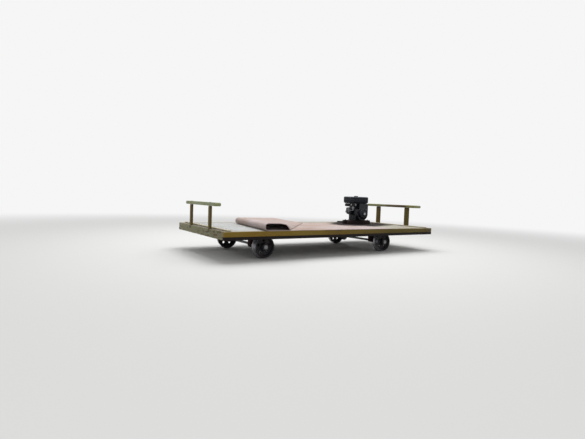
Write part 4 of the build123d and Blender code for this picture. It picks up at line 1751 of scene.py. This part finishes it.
    def saddle(self, side: Side) -> None:
        """Models a saddle: a timber with a notch for its bearing block, held by four bolts."""
        node = f"saddle_{self.end}_{side.label}"
        low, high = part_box(node)
        block_low, block_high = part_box(f"bearing_{self.end}_{side.label}")
        seat = block_high.z
        piece = add_block(low, high)
        with editing(piece):
            pick(piece, Kind.EDGES, lambda edge: self.is_low_edge(edge, low))
            bpy.ops.mesh.bevel(offset=self.saddle_corner, segments=6)
            pick(piece, Kind.EDGES, along(Axis.X))
            bpy.ops.mesh.subdivide(number_cuts=4)
        start, end = block_low.x - self.notch_room, block_high.x + self.notch_room
        carved(piece, [add_block((start, low.y - 0.01, low.z - 0.01), (end, high.y + 0.01, seat))])
        soften(piece, self.saddle_edge, 2)
        roughen(piece, *self.saddle_wear, "saddle wear")
        self.fit(f"{node}_timber", [piece], "saddle timber", node, angle=40, body="deck")
        middle = (low.x + high.x) / 2
        face = outer(node, side.sign).y
        levels = (seat + self.saddle_bolt_levels[0], high.z - self.saddle_bolt_levels[1])
        reach = self.saddle_bolt_reach
        spots = [((middle + x, face, z), (0, side.sign, 0)) for x in (-reach, reach) for z in levels]
        name = f"saddle_bolts_{self.end}_{side.label}"
        bolts = self.fasteners.placed(Head.HEX, self.saddle_bolt_size, spots, name)
        self.fit(name, bolts, "fastener steel", angle=30, body="deck")

    def axle_pulley(self) -> None:
        """Models the axle's grooved pulley with its hub."""
        piece = grooved_pulley(*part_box("axle_pulley"), self.axle_radius, *self.pulley_hub)
        self.fit("axle_pulley_iron", [piece], "pulley iron", "axle_pulley", angle=30)

    def build(self) -> None:
        """Models the wheelset and what sits on it."""
        self.axle()
        for side in Side:
            self.wheel(side)
            self.bearing(side)
            self.saddle(side)
        if self.pulley:
            self.axle_pulley()


def grooved_pulley(
    low: Vector, high: Vector, bore: float, hub: float = 0.0, hub_length: float = 0.0
) -> Piece:
    """Spins a pulley with one V groove, and a hub towards -Y where it has one.

    Args:
        low: The lowest corner of the pulley's box.
        high: The highest corner.
        bore: Its bore's radius.
        hub: Its hub's radius.
        hub_length: How far the hub stands out.

    Returns:
        The new piece.
    """
    start, end = low.y + hub_length, high.y
    middle = (start + end) / 2
    radius = (high.z - low.z) / 2
    floor = radius - 0.012
    centre = (low + high) / 2
    outline = [(bore, low.y)]
    if hub_length > 0:
        outline += [(hub - 0.002, low.y), (hub, low.y + 0.002), (hub, start)]
    outline += [
        (radius - 0.010, start),
        (radius - 0.002, start + 0.001),
        (radius, start + 0.003),
        (radius, middle - 0.009),
        (floor, middle - 0.004),
        (floor, middle + 0.004),
        (radius, middle + 0.009),
        (radius, end - 0.003),
        (radius - 0.002, end - 0.001),
        (radius - 0.010, end),
        (radius - 0.013, end - 0.006),
        (bore + 0.010, end - 0.006),
        (bore + 0.008, end),
        (bore, end),
    ]
    return add_turned(outline, (centre.x, 0, centre.z), 64)


# Engine


@dataclass(kw_only=True)
class Engine(SubAssembly):
    """The small petrol engine on its two timbers, starter at the off side, pulley at the belt side."""

    bolt_slot: str = "bare_aluminium"
    tilt: float = 15.0
    timber_edge: float = 0.005
    timber_worn: float = 0.0018
    timber_step: float = 0.05
    nut_inset: float = 0.04
    nut_size: float = 0.020
    bolt_size: float = 0.012
    screw_size: float = 0.010
    case_half: float = 0.090
    case_corner: float = 0.022
    case_end: float = 0.014
    cover_half: float = 0.083
    cover_corner: float = 0.030
    foot_height: float = 0.012
    foot_length: float = 0.155
    barrel_half: float = 0.040
    barrel_span: tuple[float, float] = (-0.166, -0.070)
    fins: int = 7
    fin_pitch: float = 0.0105
    fin_half: float = 0.052
    fin_thickness: float = 0.0032
    fin_corner: float = 0.014
    head_end: float = -0.196
    head_half: float = 0.042
    flange_half: float = 0.046
    head_screws: float = 0.032
    drum_radius: float = 0.104
    cowl_corner: float = 0.020
    cowl_gap: float = 0.006
    duct_rise: float = 0.066
    sheet_edge: float = 0.007
    housing_screws: float = 0.092
    starter_slots: int = 12
    grip_radius: float = 0.0085
    seam_reach: float = 0.004
    tank_edge: float = 0.020
    seam_corner: float = 0.024
    neck_radius: float = 0.025
    cap_radius: float = 0.030
    pad_inset: float = 0.014
    pad_height: float = 0.0056
    cleaner_height: float = 0.048
    cleaner_split: float = 0.026
    intake_radius: float = 0.018
    bowl_height: float = 0.026
    throat_length: float = 0.010
    muffler_height: float = 0.046
    muffler_edge: float = 0.012
    exhaust_radius: float = 0.014
    guard_slots: int = 5
    guard_pitch: float = 0.0135
    shaft_radius: float = 0.010

    @property
    def crank(self) -> Vector:
        """The middle of the output shaft's line."""
        low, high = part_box("output_shaft")
        return (low + high) / 2

    def tilted(self, piece: Piece) -> Piece:
        """Turns a piece made level, with the cylinder along -X from the origin, to the cylinder's place."""
        low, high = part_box("cylinder")
        middle = Vector((self.crank.x, (low.y + high.y) / 2, self.crank.z))
        return moved(piece, middle, self.tilt, Axis.Y)

    def bearers(self) -> None:
        """Models the two timbers and the nuts that hold them down."""
        timbers, spots = [], []
        for low, high in solids_of("engine_bearers"):
            timbers.append(Timber(low, high, self.timber_edge, self.timber_worn, self.timber_step).build())
            y, top = (low.y + high.y) / 2, high.z - 0.001
            spots += [((x, y, top), (0, 0, 1)) for x in (low.x + self.nut_inset, high.x - self.nut_inset)]
        self.fit("engine_bearers_timber", timbers, "bearer timber", "engine_bearers", angle=40)
        self.fasten("bearer_nuts", Head.HEX, self.nut_size, spots)

    def crankcase(self) -> None:
        """Models the case with its ribs, bolted side cover, feet, oil plugs and shaft boss."""
        low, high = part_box("crankcase")
        x, z, far = self.crank.x, self.crank.z, high.y - self.case_end
        case = add_block((x - self.case_half, low.y, low.z + 0.002), (x + self.case_half, far, high.z))
        parts = [rounded(case, Axis.Y, self.case_corner, 6)]
        for sign in (-1, 1):
            start, end = sorted(x + sign * (self.case_half + reach) for reach in (-0.010, 0.004))
            for y in (low.y + 0.05, low.y + 0.11):
                rib = add_block((start, y, low.z + 0.01), (end, y + 0.006, low.z + 0.07))
                parts.append(soften(rib, 0.0015))
        cover_low = (x - self.cover_half, far - 0.004, low.z + 0.014)
        cover = add_block(cover_low, (x + self.cover_half, far + 0.005, high.z - 0.008))
        pressed(rounded(cover, Axis.Y, self.cover_corner, 6), (0, 1, 0), ((0.010, 0.0), (0.004, -0.002)))
        parts.append(soften(cover, 0.0012, 2))
        boss = [
            (0.012, far), (0.044, far), (0.044, far + 0.006), (0.040, far + 0.010), (0.030, far + 0.014),
            (0.021, far + 0.014), (0.020, far + 0.011), (0.012, far + 0.011),
        ]
        parts.append(add_turned(boss, (x, 0, z), 40))
        foot_high = (high.x, low.y + self.foot_length, low.z + self.foot_height)
        foot = rounded(add_block(low, foot_high), Axis.Z, 0.014, 4)
        foot.data.transform(Matrix.Translation((0, 0.005, 0)))
        parts.append(soften(foot, 0.002, 2))
        carved(case, [add_bar(0.012, (x, far - 0.05, z), (x, far + 0.02, z), 24)])
        soften(case, 0.0015, 2)
        self.fit("crankcase_casting", parts, "engine casting", "crankcase")
        rim = [(-0.076, 0.04), (-0.076, 0.125), (0.076, 0.04), (0.076, 0.125)]
        rim += [(-0.03, 0.020), (0.03, 0.020), (-0.03, 0.158), (0.03, 0.158)]
        spots = [((x + dx, far + 0.003, low.z + rise), (0, 1, 0)) for dx, rise in rim]
        feet = [(x + dx, y) for dx in (-0.097, 0.097) for y in (low.y + 0.03, low.y + 0.13)]
        spots += [((*spot, low.z + 0.011), (0, 0, 1)) for spot in feet]
        spots.append(((x - 0.088, low.y + 0.08, low.z + 0.022), (-1, 0, 0)))
        self.fasten("crankcase_bolts", Head.HEX, self.bolt_size, spots)

    def filler(self) -> None:
        """Models the oil filler's ribbed plug at the case's foot."""
        low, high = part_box("crankcase")
        plug = ribbed(add_bar(0.013, (0, 0, -0.004), (0, 0, 0.016), 12), 2, 0.001, 0.0012)
        pressed(plug, (0, 0, 1), ((0.004, 0.0), (0.001, -0.003)))
        plug.data.transform(facing((high.x - 0.015, low.y + 0.03, low.z + 0.045), (0.8, 0, 0.6)))
        self.fit("oil_plug", [plug], "black plastic", angle=30)

    def cylinder(self) -> None:
        """Models the finned barrel and head, and the spark plug."""
        start, end = self.barrel_span
        parts = [centred_block(start, end, self.barrel_half)]
        for n in range(self.fins):
            x = start + 0.006 + n * self.fin_pitch
            fin = centred_block(x - self.fin_thickness / 2, x + self.fin_thickness / 2, self.fin_half)
            parts.append(rounded(fin, Axis.X, self.fin_corner, 4))
        piece = self.tilted(joined(parts))
        self.fit("cylinder_casting", [piece], "engine casting", "cylinder", angle=30)
        outline = [
            (0.0, 0.0), (0.008, 0.0), (0.008, 0.006), (0.0045, 0.007), (0.0045, 0.020), (0.006, 0.022),
            (0.006, 0.034), (0.0, 0.036),
        ]
        plug = moved(add_turned(outline, (0, 0, 0), 16), (-0.175, -0.046, 0.0), 180, Axis.Z)
        self.fit("spark_plug", [self.tilted(plug)], "bare aluminium")

    def valve_cover(self) -> None:
        """Models the cast cover with its raised panel, screws and breather stub."""
        start, end = self.head_end, self.barrel_span[0]
        cover = rounded(centred_block(start, end, self.head_half), Axis.X, 0.014)
        pressed(cover, (-1, 0, 0), ((0.002, 0.002), (0.006, 0.0), (0.002, -0.003)))
        flange = rounded(centred_block(end - 0.004, end, self.flange_half), Axis.X, 0.012, 4)
        stub = [
            (0.0, 0.0), (0.007, 0.0), (0.007, 0.010), (0.0085, 0.012), (0.007, 0.015), (0.0045, 0.015),
            (0.0045, 0.004), (0.0, 0.004),
        ]
        parts = [soften(cover, 0.0012, 2), soften(flange, 0.0008, 1)]
        parts.append(moved(add_turned(stub, (0, 0, 0), 16), (-0.18, 0.0, 0.040), 90, Axis.X))
        self.fit("valve_cover_casting", [self.tilted(joined(parts))], "sooty aluminium", "valve_cover")
        reach = self.head_screws
        spots = [((start - 0.0015, y, z), (-1, 0, 0)) for y in (-reach, reach) for z in (-reach, reach)]
        screws = self.fasteners.placed(Head.HEX, self.screw_size, spots, "valve_cover_screws")
        piece = self.tilted(joined(screws))
        self.fit("valve_cover_screws", [piece], "fastener steel", angle=30, slot=self.bolt_slot)

    def fan_housing(self) -> None:
        """Models the pressed housing round the flywheel, with the cowl that ducts its air to the cylinder."""
        low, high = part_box("fan_housing")
        x, z = self.crank.x, self.crank.z
        drum = add_bar(self.drum_radius, (x, low.y, z), (x, high.y, z), 64)
        cowl_low = (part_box("air_cleaner")[1].x + self.cowl_gap, low.y, z)
        upper = rounded(add_block(cowl_low, high), Axis.Y, self.cowl_corner)
        duct = add_block((low.x, low.y + 0.001, z), (x, high.y - 0.001, z + self.duct_rise))
        for block in (upper, duct):
            apply(drum, "BOOLEAN", operation="UNION", object=block, solver="EXACT")
            discard(block)
        soften(drum, self.sheet_edge, 3, 50)
        self.fit("fan_housing_sheet", [drum], "engine sheet", "fan_housing", angle=40)
        spots = []
        for n in range(4):
            at_x, at_z = around(self.crank, self.housing_screws, 45 + n * 90)
            spots.append(((at_x, low.y + 0.0005, at_z), (0, -1, 0)))
        self.fasten("fan_housing_screws", Head.HEX, self.screw_size, spots)

    def starter(self) -> None:
        """Models the domed starter cover with its ring of slots, hub cap, and the pull handle beside it."""
        low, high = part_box("starter")
        x, z = self.crank.x, self.crank.z
        face, rim = low.y, low.y + 0.010
        section = [
            (0.0, face), (0.028, face), (0.033, face + 0.002), (0.034, rim), (0.066, rim + 0.001),
            (0.076, rim + 0.005), (0.080, rim + 0.012), (0.080, high.y - 0.004), (0.090, high.y - 0.003),
            (0.090, high.y), (0.0, high.y),
        ]
        cover = add_turned(section, (x, 0, z), 72)
        tools = []
        for n in range(self.starter_slots):
            tool = add_block((0.044, rim - 0.02, -0.004), (0.070, rim + 0.017, 0.004))
            tools.append(moved(tool, (x, 0, z), n * 360 / self.starter_slots, Axis.Y))
        carved(cover, [joined(tools)])
        self.fit("starter_sheet", [cover], "engine sheet", "starter")
        cap = [(0.0, face - 0.002), (0.012, face - 0.002), (0.018, face - 0.001), (0.019, face + 0.001)]
        hub_cap = add_turned([*cap, (0.0, face + 0.001)], (x, 0, z), 32)
        self.fit("starter_hub_cap", [hub_cap], "bare aluminium", angle=30)
        low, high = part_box("starter_grip")
        middle = (low + high) / 2
        grip = add_bar(self.grip_radius, (middle.x, low.y, middle.z), (middle.x, high.y, middle.z), 20)
        for sign in (-1, 1):
            pressed(grip, (0, sign, 0), ((0.003, 0.0),))
        soften(grip, 0.003, 3, 60)
        self.fit("starter_grip_handle", [grip], "black plastic", "starter_grip", angle=50)

    def brackets(self) -> None:
        """Models the pressed brackets under the tank."""
        parts = []
        for low, high in solids_of("tank_brackets"):
            bracket = add_block(low, high)
            for sign in (-1, 1):
                pressed(bracket, (sign, 0, 0), ((0.007, 0.0), (0.001, -0.008)))
            parts.append(soften(bracket, 0.0012, 1))
        self.fit("tank_brackets_sheet", parts, "engine sheet", "tank_brackets")

    def tank(self) -> None:
        """Models the pressed tank with its seam, neck, pad and ribbed cap, and the tap under it."""
        rim_low, rim_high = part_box("fuel_tank")
        reach = Vector((self.seam_reach, self.seam_reach, 0))
        low, high = rim_low + reach, rim_high - reach
        cap_low, cap_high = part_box("fuel_cap")
        top = cap_low.z - 0.002
        shell = soften(add_block(low, (high.x, high.y, top)), self.tank_edge, 6)
        middle = (low.z + top) / 2
        rim_low.z, rim_high.z = middle - 0.0015, middle + 0.0015
        seam = soften(rounded(add_block(rim_low, rim_high), Axis.Z, self.seam_corner, 6), 0.001, 1)
        inset = self.pad_inset
        pad_low = (low.x + inset, low.y + inset, low.z - self.pad_height)
        pad = rounded(add_block(pad_low, (high.x - inset, high.y - inset, low.z + 0.001)), Axis.Z, 0.012, 4)
        self.fit("tank_pad_rubber", [soften(pad, 0.0015, 2)], "black plastic", angle=40)
        x, y = (cap_low.x + cap_high.x) / 2, (cap_low.y + cap_high.y) / 2
        neck = add_bar(self.neck_radius, (x, y, top - 0.004), (x, y, cap_low.z + 0.001), 40)
        self.fit("fuel_tank_sheet", [shell, seam, neck], "tank enamel", "fuel_tank", angle=40)
        cap = ribbed(add_bar(self.cap_radius, (x, y, cap_low.z), (x, y, cap_high.z), 48), 4, 0.0005, 0.0018)
        pressed(cap, (0, 0, 1), ((0.004, 0.0), (0.002, -0.0015), (0.010, 0.0), (0.002, 0.001)))
        self.fit("fuel_cap_moulding", [soften(cap, 0.0006, 1, 60)], "black plastic", "fuel_cap")
        tap = add_block(low + Vector((0.020, 0.020, -0.016)), low + Vector((0.040, 0.036, 0.002)))
        lever_end = low + Vector((0.030, 0.004, -0.009))
        lever = add_bar(0.0035, lever_end, lever_end + Vector((0, 0.018, 0)), 12)
        self.fit("fuel_tap", [soften(tap, 0.002), soften(lever, 0.001)], "bare aluminium")

    def pipe(self, node: str, radius: float, sign: int, inset: float) -> Piece:
        """An upright pipe with a bolted flange, from under a unit into the fins.

        Args:
            node: The unit's node.
            radius: The pipe's radius.
            sign: Which side of the cylinder's middle it is on, along Y.
            inset: How far it stands in from the unit's end.

        Returns:
            The pipe.
        """
        low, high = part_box(node)
        barrel_low, barrel_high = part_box("cylinder")
        x, y = high.x - inset, (barrel_low.y + barrel_high.y) / 2 + sign * 0.026
        shaft = add_bar(radius, (x, y, low.z - 0.004), (x, y, low.z + 0.040))
        flange = add_block((x - 0.024, y - 0.022, low.z + 0.020), (x + 0.022, y + 0.022, low.z + 0.026))
        return joined([shaft, soften(rounded(flange, Axis.Z, 0.009, 3), 0.001, 1)])

    def air_cleaner(self) -> None:
        """Models the air cleaner's base and lid, its pipe and its clips."""
        low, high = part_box("air_cleaner")
        base_z = high.z - self.cleaner_height
        split = base_z + self.cleaner_split
        base = add_block((low.x + 0.002, low.y + 0.002, base_z), (high.x - 0.002, high.y - 0.002, split))
        soften(rounded(base, Axis.Z, 0.012), 0.005, 3)
        lid = rounded(add_block((low.x, low.y, split - 0.001), high), Axis.Z, 0.014)
        for direction in ((-1, 0, 0), (0, -1, 0)):
            pressed(lid, direction, ((0.006, 0.0), (0.001, -0.0015)))
        parts = [base, soften(lid, 0.004, 3, 50), self.pipe("air_cleaner", self.intake_radius, -1, 0.024)]
        self.fit("air_cleaner_moulding", parts, "black plastic", "air_cleaner", angle=40)
        middle = (low + high) / 2
        clips = []
        for x, y, half_x, half_y in (
            (low.x - 0.001, middle.y, 0.0015, 0.009), (middle.x, low.y - 0.001, 0.009, 0.0015)
        ):
            spot, half = Vector((x, y, split)), Vector((half_x, half_y, 0.011))
            clips.append(soften(add_block(spot - half, spot + half), 0.001))
        self.fit("air_cleaner_clips", clips, "bare aluminium")

    def carburettor(self) -> None:
        """Models the carburettor's body, throat, float bowl and bowl nut, under the air cleaner."""
        low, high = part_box("carburettor")
        x, y = (low.x + high.x) / 2, (low.y + high.y) / 2
        foot, top = low.z + self.bowl_height, high.z - self.throat_length
        radius = (high.y - low.y) / 2
        lever = add_block((low.x - 0.004, y - 0.004, top - 0.018), (low.x + 0.001, y + 0.004, top + 0.006))
        parts = [
            soften(add_block((low.x, low.y, foot), (high.x, high.y, top)), 0.004, 3),
            add_bar(radius, (x, y, top - 0.002), (x, y, high.z), 24),
            soften(add_bar(radius, (x, y, low.z + 0.003), (x, y, foot + 0.002), 28), 0.003, 3, 60),
            add_bar(0.005, (x, y, low.z), (x, y, low.z + 0.004), 6),
            soften(lever, 0.001),
        ]
        self.fit("carburettor_casting", parts, "bare aluminium", "carburettor")

    def muffler(self) -> None:
        """Models the pressed muffler box with its seam, slotted guard, pipe and outlet."""
        low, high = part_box("muffler")
        base_z = high.z - self.muffler_height
        seam_z = (base_z + high.z) / 2
        shell = soften(add_block((low.x + 0.004, low.y, base_z), high), self.muffler_edge, 5)
        seam_high = (high.x + 0.003, high.y + 0.003, seam_z + 0.003)
        seam = add_block((low.x + 0.001, low.y - 0.003, seam_z), seam_high)
        guard_low = (low.x - 0.002, low.y + 0.006, base_z + 0.006)
        guard_high = (low.x + 0.0005, high.y - 0.006, high.z - 0.006)
        guard = rounded(add_block(guard_low, guard_high), Axis.X, 0.006, 3)
        tools = []
        for n in range(self.guard_slots):
            y = low.y + 0.016 + n * self.guard_pitch
            slot_low = (low.x - 0.01, y, base_z + 0.014)
            tools.append(add_block(slot_low, (low.x + 0.01, y + 0.006, high.z - 0.014)))
        carved(guard, [joined(tools)])
        outline = [(0.0065, -0.012), (0.009, -0.012), (0.009, 0.010), (0.0065, 0.010)]
        outlet = add_turned(outline, (0, 0, 0), 24)
        moved(outlet, (low.x, low.y + 0.018, base_z + 0.010), -90, Axis.Z)
        parts = [shell, rounded(seam, Axis.Z, 0.014), guard, outlet]
        parts.append(self.pipe("muffler", self.exhaust_radius, 1, 0.020))
        self.fit("muffler_sheet", parts, "muffler steel", "muffler", angle=40)

    def controls(self) -> None:
        """Models the throttle plate and its lever on top of the crankcase."""
        low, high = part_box("crankcase")
        spot = Vector((self.crank.x + 0.02, low.y + 0.012, high.z))
        plate = soften(add_block((-0.045, -0.010, -0.001), (0.045, 0.026, 0.0025)), 0.001, 1)
        arm = soften(add_block((-0.004, -0.012, 0.003), (0.004, 0.020, 0.0055)), 0.001, 1)
        pin = add_bar(0.005, (0, 0, 0), (0, 0, 0.010), 6)
        knob = soften(add_bar(0.005, (0.004, -0.010, 0.004), (0.004, -0.010, 0.016), 16), 0.001)
        parts = [moved(part, spot, 24 if part is arm else 0, Axis.Z) for part in (plate, arm, pin, knob)]
        self.fit("throttle_plate", parts, "bare aluminium")

    def output(self) -> None:
        """Models the output shaft with its keyway, and the grooved pulley on it."""
        low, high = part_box("output_shaft")
        x, z, radius = self.crank.x, self.crank.z, self.shaft_radius
        outline = [
            (0.0, low.y), (radius, low.y), (radius, high.y - 0.0015), (radius - 0.0015, high.y),
            (0.003, high.y), (0.0, high.y - 0.003),
        ]
        shaft = add_turned(outline, (x, 0, z), 40)
        keyway_low = (x - 0.0025, high.y - 0.04, z + radius - 0.003)
        carved(shaft, [add_block(keyway_low, (x + 0.0025, high.y + 0.01, z + radius + 0.01))])
        self.fit("output_shaft_steel", [shaft], "axle steel", "output_shaft", body="output_pulley")
        pulley = grooved_pulley(*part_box("engine_pulley"), radius + 0.0001)
        self.fit(
            "engine_pulley_iron", [pulley], "pulley iron", "engine_pulley", angle=30, body="output_pulley"
        )

    def build(self) -> None:
        """Models the whole engine."""
        for step in (
            self.bearers, self.crankcase, self.filler, self.cylinder, self.valve_cover, self.fan_housing,
            self.starter, self.brackets, self.tank, self.air_cleaner, self.carburettor, self.muffler,
            self.controls, self.output,
        ):
            step()


# Soft parts


@dataclass(kw_only=True)
class DriveBelt(SubAssembly):
    """The drive belt, laid by on the deck in a loop."""

    thickness: float = 0.011
    taper: float = 0.0028
    edge: float = 0.0012
    steps: int = 54

    def build(self) -> None:
        """Models the belt: its wedge section spun into a ring, whose halves are then pulled apart.

        The steps are even but not a multiple of four, so that no point lies between the halves.
        """
        low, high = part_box("drive_belt")
        middle = (low + high) / 2
        across = high.z - low.z
        radius = (high.y - low.y) / 2
        straight = (high.x - low.x) / 2 - radius
        inner = radius - self.thickness
        section = [(inner, self.taper), (radius, 0.0), (radius, across), (inner, across - self.taper)]
        belt = moved(add_turned(section, (0, 0, 0), self.steps), (middle.x, middle.y, low.z), 90, Axis.X)
        with editing(belt):
            for sign in (-1, 1):
                pick(belt, Kind.VERTS, lambda vert: (vert.co.x - middle.x) * sign > 0)
                bpy.ops.transform.translate(value=(sign * straight, 0, 0))
        soften(belt, self.edge, 2)
        self.fit("drive_belt_rubber", [belt], "belt rubber", "drive_belt", angle=30)


@dataclass(kw_only=True)
class DeckMat(SubAssembly):
    """The thin woven mat, its plain end folded back over itself in a loose loop on a slant."""

    thickness: float = 0.0035
    rows: int = 60
    steps: int = 150
    crease_inset: float = 0.485
    slant: float = 0.186
    near_width: float = 0.320
    far_width: float = 1.118
    right_slant: float = 0.134
    clearance: float = 0.0008
    crest_room: float = 0.0005
    crest_fall: float = 0.004
    loop_steps: int = 12
    brow: tuple[float, float] = (0.62, 0.54)
    flap_rise: tuple[float, float] = (0.060, 0.010)
    drop: tuple[float, float] = (0.05, 0.15)
    eased: int = 6
    ruffle: float = 0.004
    nodes: tuple[str, ...] = ("deck_mat", "mat_crease", "mat_fold_top", "mat_fold_slope", "mat_fold_edge")

    def section(self, share: float) -> list[Vector]:
        """The mat's line at one distance from its near edge, from the sheet's far corner to the flap's edge.

        Args:
            share: 0 at the near edge, 1 at the far edge.

        Returns:
            Points in X and Z, as vectors with Y left 0.
        """
        low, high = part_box("deck_mat")
        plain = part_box("side_beam_off_side")[0].x
        crease = plain + self.crease_inset + self.slant * share
        right = high.x - self.right_slant * share
        width = between(self.near_width, self.far_width, share)
        floor = low.z + self.clearance
        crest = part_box("mat_crease")[1].z - self.thickness - self.crest_room - self.crest_fall * share
        bend = (crest - floor) / 2
        rise = between(*self.flap_rise, share)
        flap = crease + width
        line = [(right, floor), (crease + bend, floor)]
        for n in range(1, self.loop_steps):
            angle = math.radians(-90 - n * 180 / self.loop_steps)
            line.append((crease + bend + bend * math.cos(angle), floor + bend + bend * math.sin(angle)))
        drop = between(*self.drop, share)
        line += [
            (crease + bend, crest),
            (crease + width * between(*self.brow, share), crest - 0.004),
            (flap - drop, floor + rise + 0.004),
            (flap - drop * 0.35, floor + rise * 0.55),
            (flap - drop * 0.08, floor + rise * 0.16 + self.thickness),
            (flap, floor + self.thickness + 0.001),
        ]
        return [Vector((x, 0, z)) for x, z in line]

    @staticmethod
    def spread(line: Sequence[Vector], count: int) -> list[Vector]:
        """Points spaced evenly along a line.

        Args:
            line: The line's corners.
            count: How many points.

        Returns:
            The points.
        """
        lengths = [0.0]
        for before, after in zip(line, line[1:]):
            lengths.append(lengths[-1] + (after - before).length)
        points, piece = [], 0
        for n in range(count):
            at = lengths[-1] * n / (count - 1)
            while piece < len(line) - 2 and lengths[piece + 1] < at:
                piece += 1
            part = (at - lengths[piece]) / (lengths[piece + 1] - lengths[piece])
            points.append(line[piece].lerp(line[piece + 1], min(1.0, part)))
        return points

    def build(self) -> None:
        """Models the mat as a grid laid along its sections, ruffled a little, and given its thickness."""
        low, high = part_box("deck_mat")
        clear_selection()
        bpy.ops.mesh.primitive_grid_add(x_subdivisions=self.steps, y_subdivisions=self.rows, size=2.0)
        mat = settle(bpy.context.object)
        sections = []
        for row in range(self.rows + 1):
            points = self.spread(self.section(row / self.rows), self.steps * 4 + 1)
            for _ in range(self.eased):
                inner = [(a + b * 2 + c) / 4 for a, b, c in zip(points, points[1:], points[2:])]
                points = [points[0], *inner, points[-1]]
            sections.append(self.spread(points, self.steps + 1))
        flats = [sum((b - a).length for a, b in zip(points, points[1:])) for points in sections]
        width = high.y - low.y
        layer = mat.data.uv_layers.active.data
        places = []
        for vert in mat.data.vertices:
            column = round((vert.co.x + 1) / 2 * self.steps)
            row = round((vert.co.y + 1) / 2 * self.rows)
            point = sections[row][column]
            y = low.y + width * row / self.rows
            lift = point.z - low.z
            wave = noise.noise(Vector((point.x * 3.1, y * 3.7, lift * 9)))
            height = point.z + wave * min(self.ruffle, 0.0015 + lift * 0.1) + 0.0012
            places.append((column / self.steps * flats[row], row / self.rows * width))
            vert.co = (point.x, y, max(height, low.z + 0.0006))
        for loop in mat.data.loops:
            layer[loop.index].uv = places[loop.vertex_index]
        apply(mat, "SOLIDIFY", thickness=self.thickness, offset=1.0)
        self.fit("deck_mat_weave", [mat], "woven mat", *self.nodes, angle=60)


# Studio


@dataclass
class Studio:
    """The pale floor, the soft lights and the camera at the photograph's viewing angle."""

    floor_colour: Colour = (0.72, 0.72, 0.71)
    fade: tuple[float, float] = (3.0, 11.0)
    backdrop: float = 0.92
    ambient: float = 0.5
    focal_pixels: float = 400.0
    frame_width: float = 585.0
    sensor: float = 36.0
    eye: tuple[float, float, float] = (-3.3394, -4.5078, 0.7081)
    yaw: float = 33.643
    pitch: float = -3.042
    roll: float = 2.001

    @staticmethod
    def seen(graph: Graph) -> Socket:
        """1 where the camera looks, itself or in a reflection."""
        path = graph.add("ShaderNodeLightPath")
        return graph.math("MAXIMUM", path.outputs["Is Camera Ray"], path.outputs["Is Glossy Ray"])

    def floor(self) -> None:
        """Lays the floor, which fades into the background far out."""
        clear_selection()
        bpy.ops.mesh.primitive_plane_add(size=120.0, location=(0, 0, 0))
        floor = bpy.context.object
        floor.name = "studio_floor"
        material, graph, shader = start_material("pale floor")
        distance = graph.add("ShaderNodeVectorMath", operation="LENGTH")
        graph.feed(distance.inputs[0], graph.place())
        far = graph.band(distance.outputs["Value"], *self.fade)
        far = graph.times(far, self.seen(graph))
        graph.feed(shader.inputs["Base Color"], graph.mix(far, self.floor_colour, (0.0, 0.0, 0.0)))
        shader.inputs["Roughness"].default_value = 0.9
        shader.inputs["Specular IOR Level"].default_value = 0.0
        shader.inputs["Emission Strength"].default_value = 1.0
        graph.feed(shader.inputs["Emission Color"], graph.mix(far, (0.0, 0.0, 0.0), (self.backdrop,) * 3))
        floor.data.materials.append(material)

    def lights(self) -> None:
        """Hangs a broad overhead lamp and a weaker one in front, in a soft even world."""
        for name, place, size, power in (
            ("overhead_softbox", (0.4, 0.9, 5.5), 6.0, 340.0),
            ("front_softbox", (-4.5, -6.0, 3.2), 4.0, 55.0),
        ):
            clear_selection()
            bpy.ops.object.light_add(type="AREA", location=place)
            lamp = bpy.context.object
            lamp.name = name
            lamp.data.size = size
            lamp.data.energy = power
            lamp.rotation_euler = (Vector((0, 0, 0.3)) - Vector(place)).to_track_quat("-Z", "Y").to_euler()
        world = bpy.data.worlds.new("studio")
        world.use_nodes = True
        graph = Graph(world.node_tree)
        background = world.node_tree.nodes["Background"]
        strength = graph.band(self.seen(graph), 0.0, 1.0, self.ambient, self.backdrop)
        graph.feed(background.inputs["Strength"], strength)
        background.inputs["Color"].default_value = (1.0, 1.0, 1.0, 1.0)
        bpy.context.scene.world = world
        bpy.context.scene.view_settings.view_transform = "Standard"

    def camera(self) -> None:
        """Places the camera as the photograph's was, from the fit to the deck's edges."""
        data = bpy.data.cameras.new("photo_view")
        data.sensor_width = self.sensor
        data.lens = self.sensor * self.focal_pixels / self.frame_width
        data.clip_end = 200.0
        camera = bpy.data.objects.new("photo_view", data)
        bpy.context.scene.collection.objects.link(camera)
        yaw, pitch, roll = (math.radians(angle) for angle in (self.yaw, self.pitch, self.roll))
        ahead = Vector((math.sin(yaw) * math.cos(pitch), math.cos(yaw) * math.cos(pitch), math.sin(pitch)))
        right = Vector((math.cos(yaw), -math.sin(yaw), 0.0))
        up = right.cross(ahead)
        side = right * math.cos(roll) + up * math.sin(roll)
        top = side.cross(ahead)
        turn = Matrix((side, top, -ahead)).transposed().to_4x4()
        camera.matrix_world = Matrix.Translation(self.eye) @ turn
        bpy.context.scene.camera = camera

    def build(self) -> None:
        """Sets the whole studio."""
        self.floor()
        self.lights()
        self.camera()


def main() -> None:
    """Builds the trolley's looks, sub-assembly by sub-assembly."""
    logging.basicConfig(level=logging.INFO, format="%(message)s")
    Studio().build()
    fasteners = Fasteners()
    shared = {"palette": Palette(), "fasteners": fasteners}
    fasteners.build()
    DeckFrame(**shared).build()
    EndRails(**shared).build()
    BambooDeck(**shared).build()
    Wheelset(end="front", body="front_wheelset", **shared).build()
    Wheelset(end="rear", body="rear_wheelset", pulley=True, **shared).build()
    Engine(**shared).build()
    DriveBelt(**shared).build()
    DeckMat(**shared).build()
    fasteners.clear()


if __name__ == "__main__":
    main()
